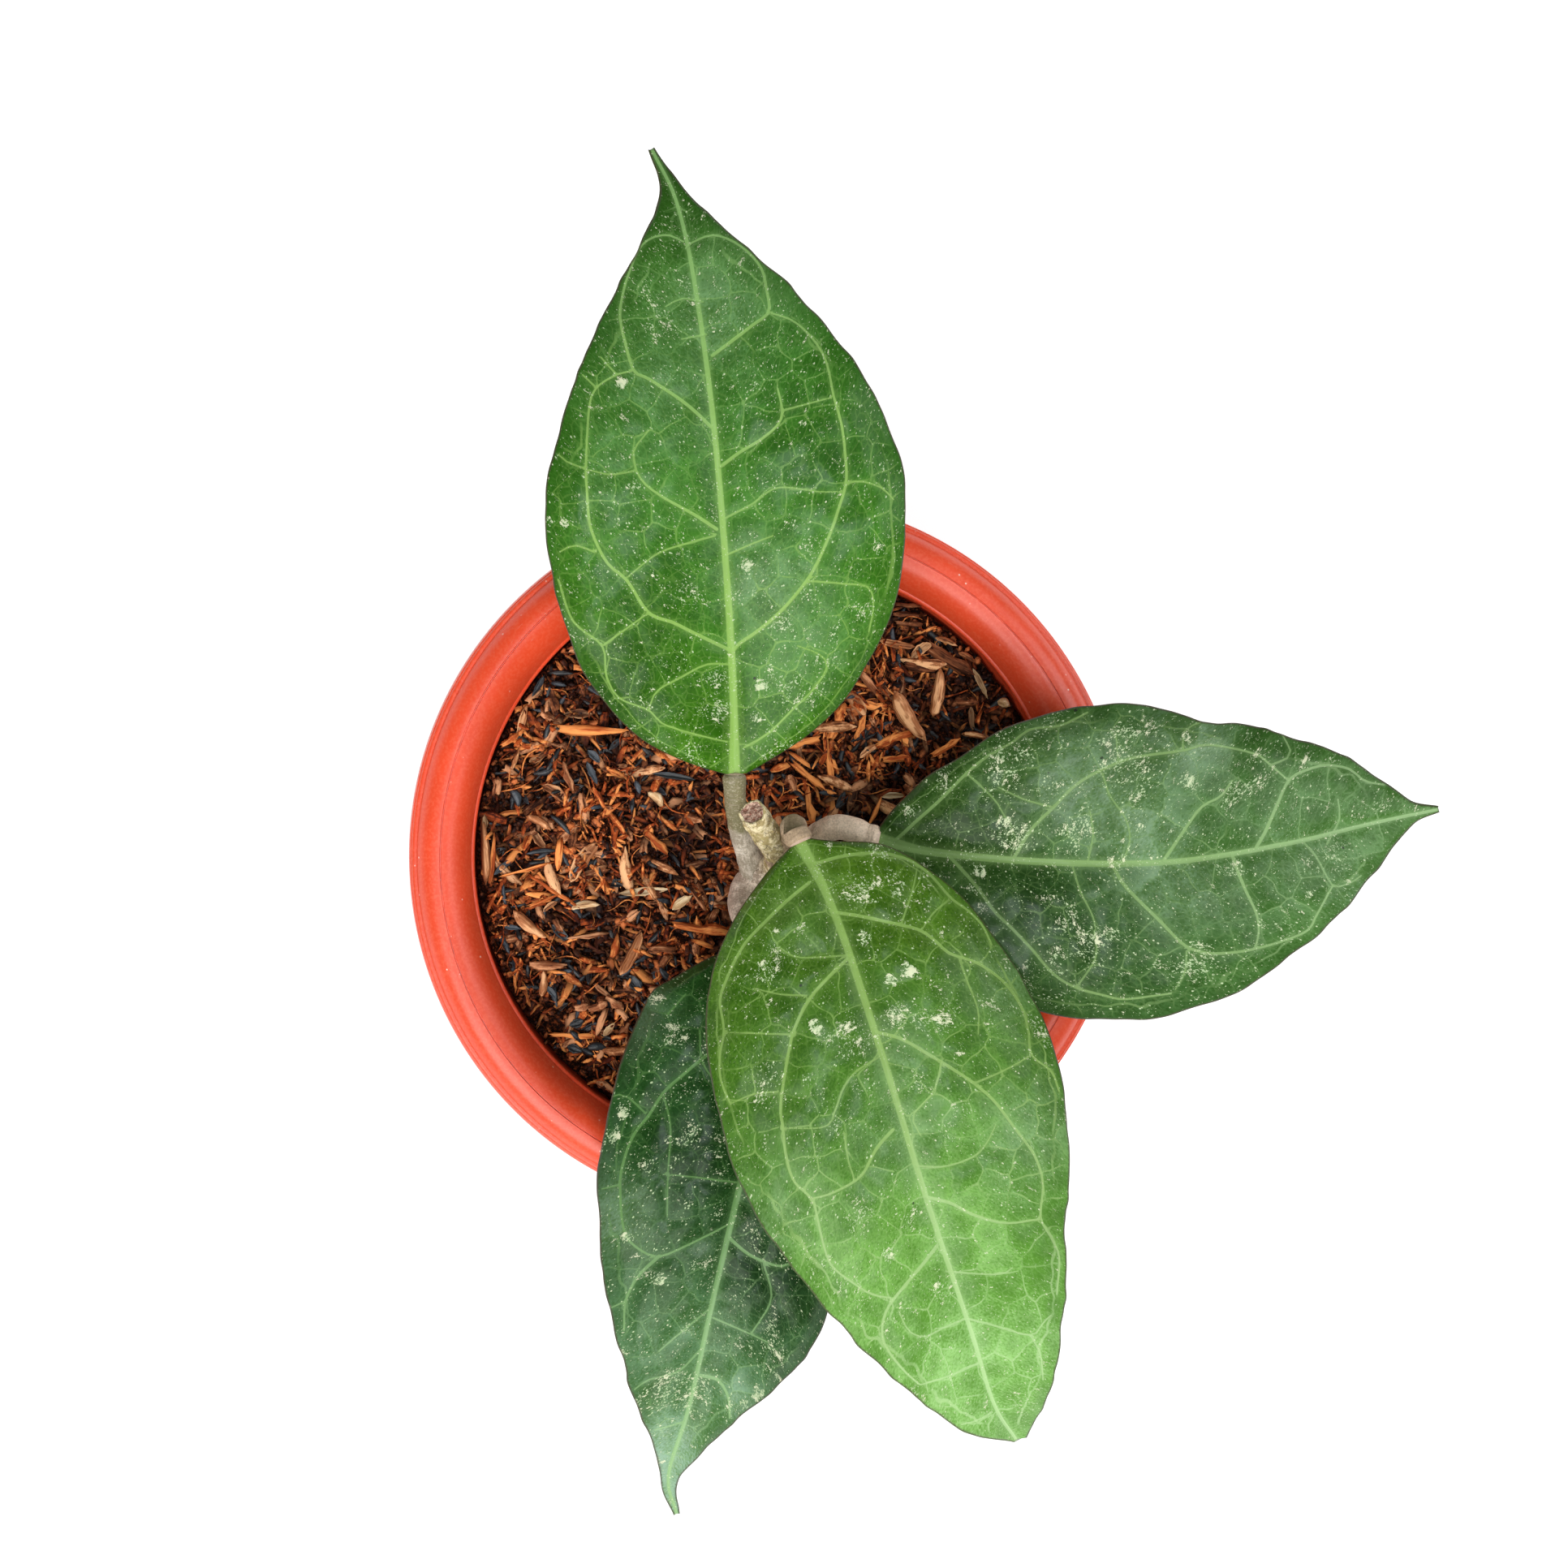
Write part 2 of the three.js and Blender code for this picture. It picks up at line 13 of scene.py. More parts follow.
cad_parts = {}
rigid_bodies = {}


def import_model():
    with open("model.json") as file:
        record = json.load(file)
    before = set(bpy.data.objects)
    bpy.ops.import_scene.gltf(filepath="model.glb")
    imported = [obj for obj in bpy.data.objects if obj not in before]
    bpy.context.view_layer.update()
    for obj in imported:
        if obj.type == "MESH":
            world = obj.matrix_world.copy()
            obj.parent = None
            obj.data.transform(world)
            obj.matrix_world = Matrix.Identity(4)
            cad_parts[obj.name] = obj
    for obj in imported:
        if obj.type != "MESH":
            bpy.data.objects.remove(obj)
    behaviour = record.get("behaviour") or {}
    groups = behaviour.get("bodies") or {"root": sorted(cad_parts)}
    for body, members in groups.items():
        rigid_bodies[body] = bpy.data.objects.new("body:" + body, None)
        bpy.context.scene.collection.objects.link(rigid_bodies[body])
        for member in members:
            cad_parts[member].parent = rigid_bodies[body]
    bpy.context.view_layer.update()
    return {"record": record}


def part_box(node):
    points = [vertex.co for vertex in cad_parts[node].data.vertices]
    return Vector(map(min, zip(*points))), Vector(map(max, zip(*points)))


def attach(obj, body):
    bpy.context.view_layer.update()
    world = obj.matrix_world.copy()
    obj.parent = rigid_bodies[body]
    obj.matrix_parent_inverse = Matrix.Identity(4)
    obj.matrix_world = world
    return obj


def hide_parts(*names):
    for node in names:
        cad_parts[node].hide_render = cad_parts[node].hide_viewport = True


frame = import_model()

bl_info = {
    "name": "Potted hoya plant",
    "version": (1, 0, 0),
    "blender": (4, 5, 0),
    "location": "View3D > Sidebar > Hoya",
    "description": "Builds a young hoya with waxy, flecked leaves in a round nursery pot",
    "category": "Add Mesh",
}

MM = 0.001

# ---- Driving sizes, in millimetres, the first few read from the frame ----

POT_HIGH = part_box("pot")[1]
RIM_RADIUS = POT_HIGH[0] / MM
POT_HEIGHT = POT_HIGH[2] / MM
FOOT_RADIUS = 39
WALL_FLARE = 0.111  # growth of the wall's radius for each millimetre of height
WALL_THICKNESS = 1.7
FLOOR_THICKNESS = 3
RIM_SKIRT = 11
RIM_WALL = 1.6
CROWN_RADIUS = 52.6
LIP_RADIUS = 47.1
LIP_BELOW_CROWN = 4.6
DRAIN_HOLES = 6
DRAIN_HOLE_RADIUS = 4
DRAIN_CIRCLE_RADIUS = 24
DRAIN_CHANNEL_WIDTH = 5
DRAIN_CHANNEL_DEPTH = 1.5
POT_SIDES = 288

MIX_LEVEL = 88.3
MIX_RELIEF = 0.9
MIX_GAP = 0.15
MIX_RADIUS = FOOT_RADIUS + WALL_FLARE * MIX_LEVEL - WALL_THICKNESS - MIX_GAP

BLADE_THICKNESS = 1.0
KEEL_DEPTH = 1.1
KEEL_HALF_WIDTH = 1.8
MARGIN_ROLL = 1.3
TIP_SWEEP = 0.55
NET_ARCH = 0.8
CUP_FADE = (0.2, 0.75)  # places between which the cupped base goes over to the drooping front
HALF_ARCH = 3  # swelling of each half of a blade between its midrib and its margin
PUCKER_HEIGHT = 0.5  # of the blade between its strong veins
PUCKER_REACH = 2.2  # of the slope from a vein up to the pucker beside it
GROOVE_DEPTH = 0.32  # over the midrib
GROOVE_HALF_WIDTH = 1.5
DENT_HEIGHT = 0.10
EDGE_ROUNDING = 0.22
MARGIN_SHARE = 0.62  # of the blade's thickness that is left at its margin
CELL_HEIGHT = 0.2  # of each small cell of the net
VEIN_SPACING = 5.0  # between the cross veins that leave a vein
CELL_SPACING = 4.4

# Places along a blade, from base to tip, at which its half widths are given.
STATIONS = (0, 0.02, 0.05, 0.1, 0.17, 0.25, 0.35, 0.45, 0.55, 0.65, 0.75, 0.84, 0.9, 0.95, 1)

VINE_ROUTE = (
    (2, -7, 60), (1, -6, 80), (-1.2, -4.2, 95), (-2.5, -2.6, 102.5),
    (-0.9, -1, 107), (0.2, 0.5, 111.5), (-2.1, 3.8, 119.5), (-5.35, 8.3, 125.5),
)
VINE_RADIUS = 2.15
VINE_NODES = ((102.6, 0.75, 2.2), (111.2, 0.55, 2.0))  # height, swelling and spread of each leaf node

# ---- The photograph's camera ----

PHOTO_PIXELS = 1932
VIEW_AIM = (1.87, 11.73, 98)
VIEW_DIRECTION = (-0.088, 0.034, 1)
VIEW_DISTANCE = 700
FOCAL_PIXELS = 5430
SENSOR_WIDTH = 36
PIXELS_PER_MM = 7.9  # at the height of the leaves
MIX_PIXELS_PER_MM = 7.65  # at the height of the mix

# Half widths in photograph pixels at a vein's root and end, and its strength.
STRONG_VEIN = (2.3, 1.2, 1.0)
FINE_VEIN = (1.4, 0.95, 0.8)

# ---- The four leaves ----
# midrib: its points from base to tip. left, right: half widths at the stations. Veins and spots are
# photograph pixels: a strong or fine vein is a list of points from its root to its end, and a spot of
# flecks or a tone is its middle, its radius in pixels and its strength. A spot of 0.8 or more is a single
# torn flake. A tone is painted light: above 0 a pale painted sheen, below 0 a deeper painted shade.
# greens: places from base to tip and their colours. vein_greens: the veins' colour at base and at tip.

LEAVES = {
    "back": {
        "midrib": ((-7.5, 14, 117.5), (-8, 27.5, 121), (-9.5, 47, 125.5), (-11.5, 68.5, 127),
                   (-14, 88.5, 124), (-16.5, 101.5, 119.5), (-20, 110, 115)),
        "left": (1.5, 8, 14.5, 20.5, 24.5, 26.5, 26.5, 23, 19, 14.5, 9.5, 5, 2.3, 1, 0.5),
        "right": (2, 6, 11.5, 18.5, 24.5, 27.5, 28, 24.5, 20, 15, 9.3, 4.5, 2, 1, 0.5),
        "base_sweep": 0, "droop": 4.5, "puckers": 0.45, "waves": 5, "wave_height": 0.7, "wave_phase": 0.5,
        "petiole": ((-2.4, -2.2, 103), (-4.3, 0.7, 106.2), (-5.9, 4.3, 109.8), (-6.9, 8.4, 113.2)),
        "petiole_radii": (2.1, 1.7),
        "strong": (
            ((903, 803), (855, 780), (829, 767), (799, 755), (773, 716), (752, 698), (740, 680),
             (727, 647), (723, 601), (722, 575), (726, 503), (735, 478), (760, 462), (781, 457)),
            ((876, 526), (855, 506), (832, 488), (799, 467), (781, 457), (770, 421), (764, 390),
             (768, 360), (776, 334), (788, 306), (804, 293), (824, 290), (842, 298)),
            ((883, 652), (855, 634), (819, 614), (794, 596), (784, 580)),
            ((905, 800), (911, 793), (937, 775), (968, 747), (999, 708), (1019, 667), (1032, 631),
             (1042, 596), (1042, 565), (1037, 524), (1027, 488), (1019, 449), (1004, 421),
             (978, 396), (947, 385)),
            ((878, 438), (901, 421), (927, 401), (947, 385), (945, 360), (937, 329), (912, 303),
             (881, 290), (855, 298), (845, 306)),
            ((888, 575), (912, 557), (937, 542), (958, 524), (964, 506), (958, 478)),
        ),
        "fine": (
            ((784, 580), (752, 585), (723, 578)), ((784, 580), (781, 555), (800, 530)),
            ((881, 660), (845, 670), (809, 683), (773, 711)),
            ((901, 819), (870, 819), (835, 837), (809, 852), (799, 875)),
            ((688, 714), (706, 765), (742, 796), (747, 832), (763, 860), (799, 875), (819, 893),
             (870, 908), (896, 914)),
            ((742, 796), (799, 755)), ((964, 506), (1024, 490)),
            ((893, 639), (927, 621), (958, 601), (1009, 606), (1037, 606)),
            ((893, 685), (927, 670), (953, 660)), ((1042, 596), (1060, 593), (1086, 601), (1101, 616)),
            ((999, 716), (1035, 719), (1070, 724), (1076, 749), (1070, 780)),
            ((917, 921), (947, 903), (978, 873), (1004, 847), (1019, 821), (1009, 806), (983, 796)),
            ((723, 578), (700, 570), (688, 560)), ((732, 680), (708, 672), (690, 680)),
            ((735, 478), (718, 462)), ((760, 462), (740, 440)),
            ((866, 372), (840, 368), (820, 378)), ((870, 412), (840, 418)),
        ),
        "spots": ((937, 845, 9, 1), (920, 696, 9, 1), (989, 522, 7, 0.9), (933, 884, 8, 0.8),
                  (766, 473, 8, 1), (695, 645, 8, 0.9), (677, 642, 8, 0.9), (775, 608, 22, 0.4),
                  (985, 665, 30, 0.4), (815, 405, 30, 0.4), (872, 873, 30, 0.5),
                  (994, 821, 34, 0.5), (877, 390, 20, 0.35), (1040, 790, 22, 0.4),
                  (790, 760, 16, 0.3), (1076, 555, 16, 0.4)),
        "painted_tones": ((880, 390, 75, 0.18), (800, 460, 75, 0.14), (745, 590, 50, 0.08),
                  (935, 710, 50, 0.20), (1000, 790, 70, 0.10), (1030, 540, 75, -0.35),
                  (780, 840, 80, -0.55), (790, 730, 60, -0.2), (850, 275, 40, -0.25)),
        "dusting": 0.35, "net": 0.42, "dark_margin": 0.3, "cup": 8,
        "greens": ((0.08, (0.050, 0.168, 0.005)), (0.3, (0.050, 0.184, 0.013)), (0.6, (0.049, 0.180, 0.018)),
                   (0.78, (0.064, 0.190, 0.028)), (0.9, (0.046, 0.130, 0.020))),
        "vein_greens": ((0.24, 0.41, 0.09), (0.20, 0.37, 0.12)),
    },
    "right": {
        "midrib": ((14.5, 4, 121), (23, 2, 123), (41, 0.5, 125.5), (59.5, 0.5, 125),
                   (77.5, 3, 122.5), (92.5, 6, 117.5), (103.5, 8, 115)),
        "left": (2, 6, 10.5, 14.5, 20.5, 24, 24.5, 21.5, 19.5, 16, 12.5, 8, 4.5, 1.8, 0.5),
        "right": (1.5, 2, 5.5, 12, 19, 23.5, 24, 22, 18.5, 15, 10.5, 6.5, 3.5, 1.3, 0.5),
        "base_sweep": -0.12, "droop": 5, "puckers": 0.55, "waves": 6, "wave_height": 0.7, "wave_phase": 1.8,
        "petiole": ((-0.2, -0.3, 108.6), (2.4, 1, 109.8), (5.4, 4, 113.8), (8, 5.7, 117.6),
                    (11, 5.3, 119.3)),
        "petiole_radii": (1.9, 1.95),
        "strong": (
            ((1102, 1037), (1130, 1011), (1158, 986), (1191, 953), (1214, 934), (1247, 915),
             (1270, 899), (1308, 894), (1340, 878)),
            ((1249, 1058), (1270, 1023), (1298, 995), (1326, 967), (1359, 948), (1396, 934),
             (1457, 925), (1490, 918), (1546, 929), (1565, 943), (1588, 962)),
            ((1548, 1044), (1560, 1023), (1572, 995), (1588, 962), (1607, 950), (1635, 943),
             (1663, 948), (1681, 962), (1705, 967)),
            ((1434, 1060), (1453, 1032), (1480, 995), (1504, 981), (1518, 962)),
            ((1170, 1055), (1200, 1088), (1224, 1121), (1247, 1144), (1270, 1168), (1298, 1200),
             (1326, 1217), (1359, 1226), (1387, 1231), (1443, 1224)),
            ((1373, 1070), (1387, 1093), (1434, 1140), (1457, 1163), (1476, 1172), (1504, 1175),
             (1551, 1168), (1607, 1149), (1621, 1130), (1642, 1091)),
            ((1518, 1053), (1527, 1079), (1537, 1102), (1548, 1126), (1551, 1149), (1546, 1168)),
        ),
        "fine": (
            ((1340, 1063), (1347, 1027), (1343, 1000)),
            ((1382, 1065), (1392, 1037), (1387, 1009), (1368, 981), (1359, 955)),
            ((1607, 1039), (1623, 1058), (1642, 1091), (1663, 1088), (1677, 1079)),
            ((1322, 1068), (1331, 1098), (1345, 1126), (1350, 1144)),
            ((1462, 1172), (1460, 1196), (1448, 1219)), ((1457, 925), (1460, 900), (1480, 890)),
            ((1378, 940), (1375, 905)), ((1298, 995), (1262, 985), (1230, 970)),
            ((1635, 1040), (1650, 1010), (1648, 985)), ((1326, 1217), (1350, 1180), (1348, 1146)),
            ((1191, 953), (1225, 985), (1240, 1010)), ((1565, 943), (1590, 930), (1580, 905)),
        ),
        "spots": ((1208, 1073, 9, 1), (1240, 1010, 10, 0.8), (1466, 962, 11, 1), (1426, 904, 6, 0.9),
                  (1462, 908, 8, 0.8), (1612, 1102, 7, 1), (1405, 1018, 9, 0.8), (1230, 955, 38, 0.5),
                  (1300, 960, 40, 0.45), (1390, 965, 36, 0.5), (1400, 1012, 20, 0.5),
                  (1300, 1120, 34, 0.5), (1340, 1170, 34, 0.45), (1545, 950, 24, 0.4),
                  (1630, 1065, 34, 0.55), (1670, 1000, 22, 0.5), (1500, 1140, 16, 0.5),
                  (1215, 900, 26, 0.35), (1510, 985, 14, 0.6), (1590, 965, 14, 0.5)),
        "painted_tones": ((1310, 950, 60, 0.25), (1390, 1010, 60, 0.34), (1450, 1080, 55, 0.30),
                  (1470, 905, 45, 0.36), (1580, 1050, 60, 0.22), (1680, 1100, 40, 0.2),
                  (1270, 1110, 60, -0.7), (1350, 1165, 55, -0.5), (1430, 1215, 50, -0.25),
                  (1190, 1015, 55, -0.4), (1690, 945, 45, -0.25)),
        "dusting": 0.6, "net": 0.44, "dark_margin": 0.05, "cup": 6,
        "greens": ((0.08, (0.036, 0.092, 0.012)), (0.2, (0.042, 0.105, 0.021)), (0.4, (0.049, 0.122, 0.030)),
                   (0.62, (0.060, 0.155, 0.032)), (0.85, (0.100, 0.222, 0.060))),
        "vein_greens": ((0.17, 0.28, 0.09), (0.26, 0.41, 0.18)),
    },
    "front": {
        "midrib": ((1.5, 4, 131), (6.5, -7, 134.5), (13, -27, 137.5), (20, -49.5, 137),
                   (27.5, -70.5, 131.5), (32, -83, 125), (36.5, -90, 117.5)),
        "left": (1.5, 5, 11, 17, 22, 25, 25.5, 23, 19.3, 16.5, 13, 9.5, 7, 4.5, 1.5),
        "right": (1.5, 7.5, 14.5, 20.5, 24, 26, 26, 23, 19.5, 16, 12, 8, 5, 2.5, 0.5),
        "base_sweep": 0, "droop": 6, "puckers": 0.65, "waves": 6, "wave_height": 0.8, "wave_phase": 0.9,
        "petiole": ((-0.2, 0.9, 113.6), (0.9, 2.9, 117.4), (1.3, 4.8, 121.5), (0.8, 5.9, 126),
                    (0.6, 6.1, 129.1)),
        "petiole_radii": (1.9, 2.05),
        "strong": (
            ((997, 1088), (970, 1110), (942, 1137), (920, 1160), (905, 1185), (892, 1215),
             (887, 1235), (892, 1270), (887, 1300), (888, 1330), (900, 1360)),
            ((1048, 1178), (1015, 1210), (995, 1235), (980, 1265), (972, 1295), (962, 1360),
             (965, 1390), (968, 1420), (978, 1455), (1000, 1477), (1007, 1500), (1015, 1535),
             (1025, 1560), (1050, 1580), (1075, 1595), (1102, 1600)),
            ((1100, 1392), (1080, 1415), (1060, 1450), (1025, 1470), (1000, 1477)),
            ((1155, 1535), (1135, 1560), (1102, 1600), (1090, 1620), (1087, 1645), (1095, 1665),
             (1115, 1690), (1132, 1705)),
            ((1005, 1065), (1030, 1057), (1060, 1052), (1090, 1052), (1120, 1060), (1145, 1077),
             (1172, 1107), (1190, 1120), (1210, 1140), (1222, 1165)),
            ((1032, 1125), (1060, 1129), (1110, 1140), (1135, 1147), (1155, 1162), (1170, 1175),
             (1200, 1185), (1225, 1200), (1245, 1220), (1260, 1245), (1267, 1270), (1271, 1300),
             (1295, 1320), (1305, 1345)),
            ((1080, 1272), (1110, 1280), (1140, 1297), (1170, 1315), (1200, 1335), (1225, 1357),
             (1250, 1390), (1275, 1425), (1285, 1460), (1282, 1500), (1295, 1525), (1305, 1550),
             (1302, 1595)),
            ((1140, 1475), (1170, 1482), (1200, 1497), (1240, 1507), (1282, 1502)),
        ),
        "fine": (
            ((1190, 1625), (1160, 1637), (1140, 1647), (1120, 1640), (1107, 1615)),
            ((1205, 1680), (1170, 1695), (1135, 1706)), ((1222, 1740), (1205, 1750), (1185, 1755)),
            ((1088, 1300), (1055, 1320), (1040, 1340), (1030, 1365), (1017, 1388), (962, 1390)),
            ((1048, 1177), (985, 1180), (960, 1167)), ((997, 1227), (960, 1225), (930, 1218)),
            ((980, 1275), (895, 1272)), ((1182, 1182), (1192, 1210), (1205, 1245), (1205, 1275)),
            ((1130, 1437), (1165, 1437), (1200, 1425), (1215, 1410), (1227, 1385)),
            ((1167, 1567), (1230, 1570), (1247, 1562)),
            ((1192, 1625), (1220, 1632), (1270, 1645), (1285, 1630), (1295, 1620)),
            ((1270, 1645), (1282, 1670), (1285, 1700)), ((1172, 1107), (1150, 1125), (1135, 1147)),
            ((1110, 1140), (1125, 1095), (1130, 1068)), ((965, 1345), (930, 1348), (900, 1360)),
            ((1160, 1310), (1150, 1345), (1125, 1375), (1135, 1400)),
            ((1040, 1395), (1045, 1430), (1052, 1450)), ((1200, 1335), (1235, 1320), (1271, 1300)),
        ),
        "spots": ((1117, 1194, 13, 1), (1097, 1208, 11, 1), (1006, 1264, 13, 1), (1065, 1156, 9, 0.9),
                  (1104, 1099, 9, 0.9), (988, 1142, 10, 0.8), (954, 1145, 8, 0.8), (1095, 1546, 9, 0.9),
                  (941, 1190, 8, 0.8), (1070, 1090, 44, 0.55), (1120, 1090, 34, 0.55),
                  (1165, 1255, 26, 0.6), (1045, 1280, 40, 0.6), (1060, 1320, 26, 0.5),
                  (945, 1330, 24, 0.6), (935, 1355, 10, 0.8), (1110, 1500, 26, 0.5),
                  (1080, 1480, 30, 0.4), (1180, 1290, 18, 0.5), (1220, 1320, 10, 0.5),
                  (930, 1455, 16, 0.4), (1110, 1620, 20, 0.45), (1140, 1655, 12, 0.5),
                  (1262, 1600, 10, 0.4)),
        "painted_tones": ((1235, 1210, 50, 0.18), (1275, 1390, 65, 0.16), (1110, 1305, 35, 0.12),
                  (1105, 1405, 40, 0.22), (960, 1500, 45, 0.15), (1260, 1455, 45, 0.15),
                  (985, 1120, 45, 0.06), (1065, 1220, 55, -0.3), (1110, 1260, 40, -0.3),
                  (1155, 1370, 45, -0.3), (960, 1240, 80, -0.3), (920, 1410, 60, -0.25),
                  (1010, 1400, 60, -0.25)),
        "dusting": 0.5, "net": 0.62, "dark_margin": 0.05, "cup": 3,
        "greens": ((0.08, (0.070, 0.158, 0.009)), (0.25, (0.070, 0.182, 0.015)), (0.4, (0.096, 0.236, 0.034)),
                   (0.55, (0.160, 0.352, 0.068)), (0.8, (0.265, 0.495, 0.155))),
        "vein_greens": ((0.20, 0.33, 0.08), (0.38, 0.57, 0.26)),
    },
    "low": {
        "midrib": ((-2, -13.5, 113), (-1.5, -24, 116.5), (-6, -46.5, 117.5), (-10.5, -67, 115),
                   (-14, -85, 110), (-17, -97, 105), (-15.5, -104, 101)),
        "left": (1.5, 5, 7, 9, 11, 13.5, 16.5, 18.5, 17, 12.8, 7.5, 4, 2, 1, 0.5),
        "right": (1.5, 9, 15, 19, 21, 22, 21.5, 18.5, 15.3, 11.7, 8, 3.8, 1.5, 1, 0.5),
        "base_sweep": -0.25, "droop": 5, "puckers": 0.9, "waves": 5, "wave_height": 0.7, "wave_phase": 2.6,
        "petiole": ((-2.6, -2.7, 102.8), (-4.9, -4.4, 103.4), (-5.8, -7.2, 105.2), (-4.7, -10, 108)),
        "petiole_radii": (2, 1.8),
        "strong": (
            ((945, 1250), (874, 1298), (840, 1326), (817, 1347), (799, 1375), (781, 1398),
             (769, 1429), (764, 1460), (769, 1516), (787, 1539), (812, 1548), (843, 1536),
             (874, 1521), (899, 1508)),
            ((812, 1548), (787, 1572), (771, 1603), (769, 1639)),
            ((899, 1526), (920, 1544), (940, 1554), (965, 1560), (990, 1545)),
            ((863, 1695), (884, 1700), (897, 1721), (899, 1747)),
        ),
        "fine": (
            ((907, 1457), (843, 1449), (817, 1447)), ((874, 1613), (848, 1634), (812, 1665)),
            ((879, 1624), (925, 1644), (946, 1654)), ((843, 1752), (807, 1762)),
            ((799, 1375), (770, 1350), (752, 1352)), ((764, 1460), (742, 1465)),
            ((817, 1347), (826, 1390), (823, 1445), (822, 1500)), ((771, 1603), (752, 1612)),
            ((866, 1660), (835, 1690), (800, 1700), (782, 1712)), ((940, 1554), (950, 1600), (925, 1644)),
            ((862, 1270), (866, 1310), (895, 1350)), ((823, 1250), (845, 1225)),
        ),
        "spots": ((769, 1371, 10, 0.9), (757, 1400, 10, 0.9), (823, 1403, 8, 0.9), (771, 1524, 8, 0.9),
                  (812, 1576, 11, 1), (932, 1716, 10, 1), (916, 1730, 7, 0.9), (769, 1666, 8, 0.8),
                  (890, 1430, 26, 0.4),
                  (850, 1250, 20, 0.4), (900, 1560, 26, 0.35), (880, 1500, 22, 0.35),
                  (800, 1430, 20, 0.3), (905, 1740, 16, 0.4), (920, 1640, 30, 0.3)),
        "painted_tones": ((755, 1500, 50, 0.25), (800, 1255, 40, 0.15), (860, 1290, 45, -0.35),
                  (860, 1420, 60, -0.6), (905, 1530, 50, -0.6), (960, 1575, 50, -1.3),
                  (950, 1650, 45, -0.5), (866, 1539, 11, 0.22), (911, 1506, 9, 0.2),
                  (968, 1608, 10, 0.25), (935, 1600, 8, 0.2), (850, 1636, 11, 0.2)),
        "dusting": 0.6, "net": 0.38, "dark_margin": 0.1, "cup": 2,
        # The whitish green towards the tip is partly painted sheen.
        "greens": ((0.08, (0.016, 0.074, 0.009)), (0.3, (0.018, 0.074, 0.014)), (0.5, (0.046, 0.125, 0.040)),
                   (0.7, (0.110, 0.224, 0.104)), (0.88, (0.262, 0.405, 0.285))),
        "vein_greens": ((0.10, 0.22, 0.06), (0.27, 0.44, 0.20)),
    },
}


# ---- Small tools for shapes ----

def smooth_step(low, high, value):
    share = np.clip((value - low) / (high - low), 0, 1)
    return share * share * (3 - 2 * share)


def unit(vectors):
    return vectors / np.linalg.norm(vectors, axis=-1, keepdims=True)


def ripple(points, size, seed, waves=14):
    """Smooth random relief from about -1 to 1 over points, with swells of about that size."""
    stream = np.random.default_rng(seed)
    directions = unit(stream.normal(size=(waves, 3))) * stream.uniform(0.6, 1.5, size=(waves, 1))
    phases = stream.uniform(0, 2 * math.pi, waves)
    swells = np.sin(points @ (directions.T * (2 * math.pi / size)) + phases)
    return swells.sum(axis=-1) / math.sqrt(waves)


class Route:
    """A smooth line through points, met at equal steps of its length from 0 to 1."""

    SAMPLES = 400

    def __init__(self, points):
        knots = np.array(points, float)
        knots = np.vstack([2 * knots[0] - knots[1], knots, 2 * knots[-1] - knots[-2]])
        spans = len(points) - 1
        steps = np.linspace(0, spans, self.SAMPLES)
        index = np.minimum(steps.astype(int), spans - 1)
        u = (steps - index)[:, None]
        before, start, end, after = (knots[index + shift] for shift in range(4))
        leave, arrive = (end - before) / 2, (after - start) / 2
        self.points = ((2 * u**3 - 3 * u**2 + 1) * start + (u**3 - 2 * u**2 + u) * leave
                       + (3 * u**2 - 2 * u**3) * end + (u**3 - u**2) * arrive)
        lengths = np.linalg.norm(np.diff(self.points, axis=0), axis=1)
        reach = np.concatenate([[0], np.cumsum(lengths)])
        self.length = reach[-1]
        self.shares = reach / self.length
        self.headings = unit(np.gradient(self.points, axis=0))

    def _at(self, values, share):
        return np.stack([np.interp(share, self.shares, values[:, axis]) for axis in range(3)], -1)

    def at(self, share):
        return self._at(self.points, share)

    def heading(self, share):
        return unit(self._at(self.headings, share))


def quad_grid(rows, columns, closed=False):
    """The quads between rows of points, each row closed on itself where asked."""
    across = columns if closed else columns - 1
    row, column = np.meshgrid(np.arange(rows - 1), np.arange(across), indexing="ij")
    first = row * columns + column
    second = row * columns + (column + 1) % columns
    return np.stack([first, second, second + columns, first + columns], -1).reshape(-1, 4)


def new_piece(name, points, faces, materials, material_index=None):
    """A smooth-shaded mesh object in the row frame from points in millimetres."""
    mesh = bpy.data.meshes.new(name)
    mesh.from_pydata((np.asarray(points) * MM).tolist(), [], [list(map(int, face)) for face in faces])
    for material in materials:
        mesh.materials.append(material)
    if material_index is not None:
        mesh.polygons.foreach_set("material_index", np.asarray(material_index, np.int32))
    mesh.polygons.foreach_set("use_smooth", np.ones(len(mesh.polygons), bool))
    mesh.update()
    piece = bpy.data.objects.new(name, mesh)
    bpy.context.scene.collection.objects.link(piece)
    return piece


def keep_vectors(piece, name, values):
    """Keeps three numbers for each vertex, which a material reads by that name."""
    attribute = piece.data.attributes.new(name, "FLOAT_VECTOR", "POINT")
    attribute.data.foreach_set("vector", np.asarray(values, np.float32).ravel())


def settle(piece, slot, *nodes):
    """The piece rides with the object and stands for CAD nodes; the slot is not used."""
    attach(piece, "root")
    if nodes:
        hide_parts(*nodes)


def bend(start, control, end, steps):
    """Points of a smooth bend from start to end, pulled towards control; the start is left out."""
    start, control, end = (np.array(point, float) for point in (start, control, end))
    share = np.linspace(0, 1, steps + 1)[1:, None]
    return ((1 - share)**2 * start + 2 * share * (1 - share) * control + share**2 * end).tolist()


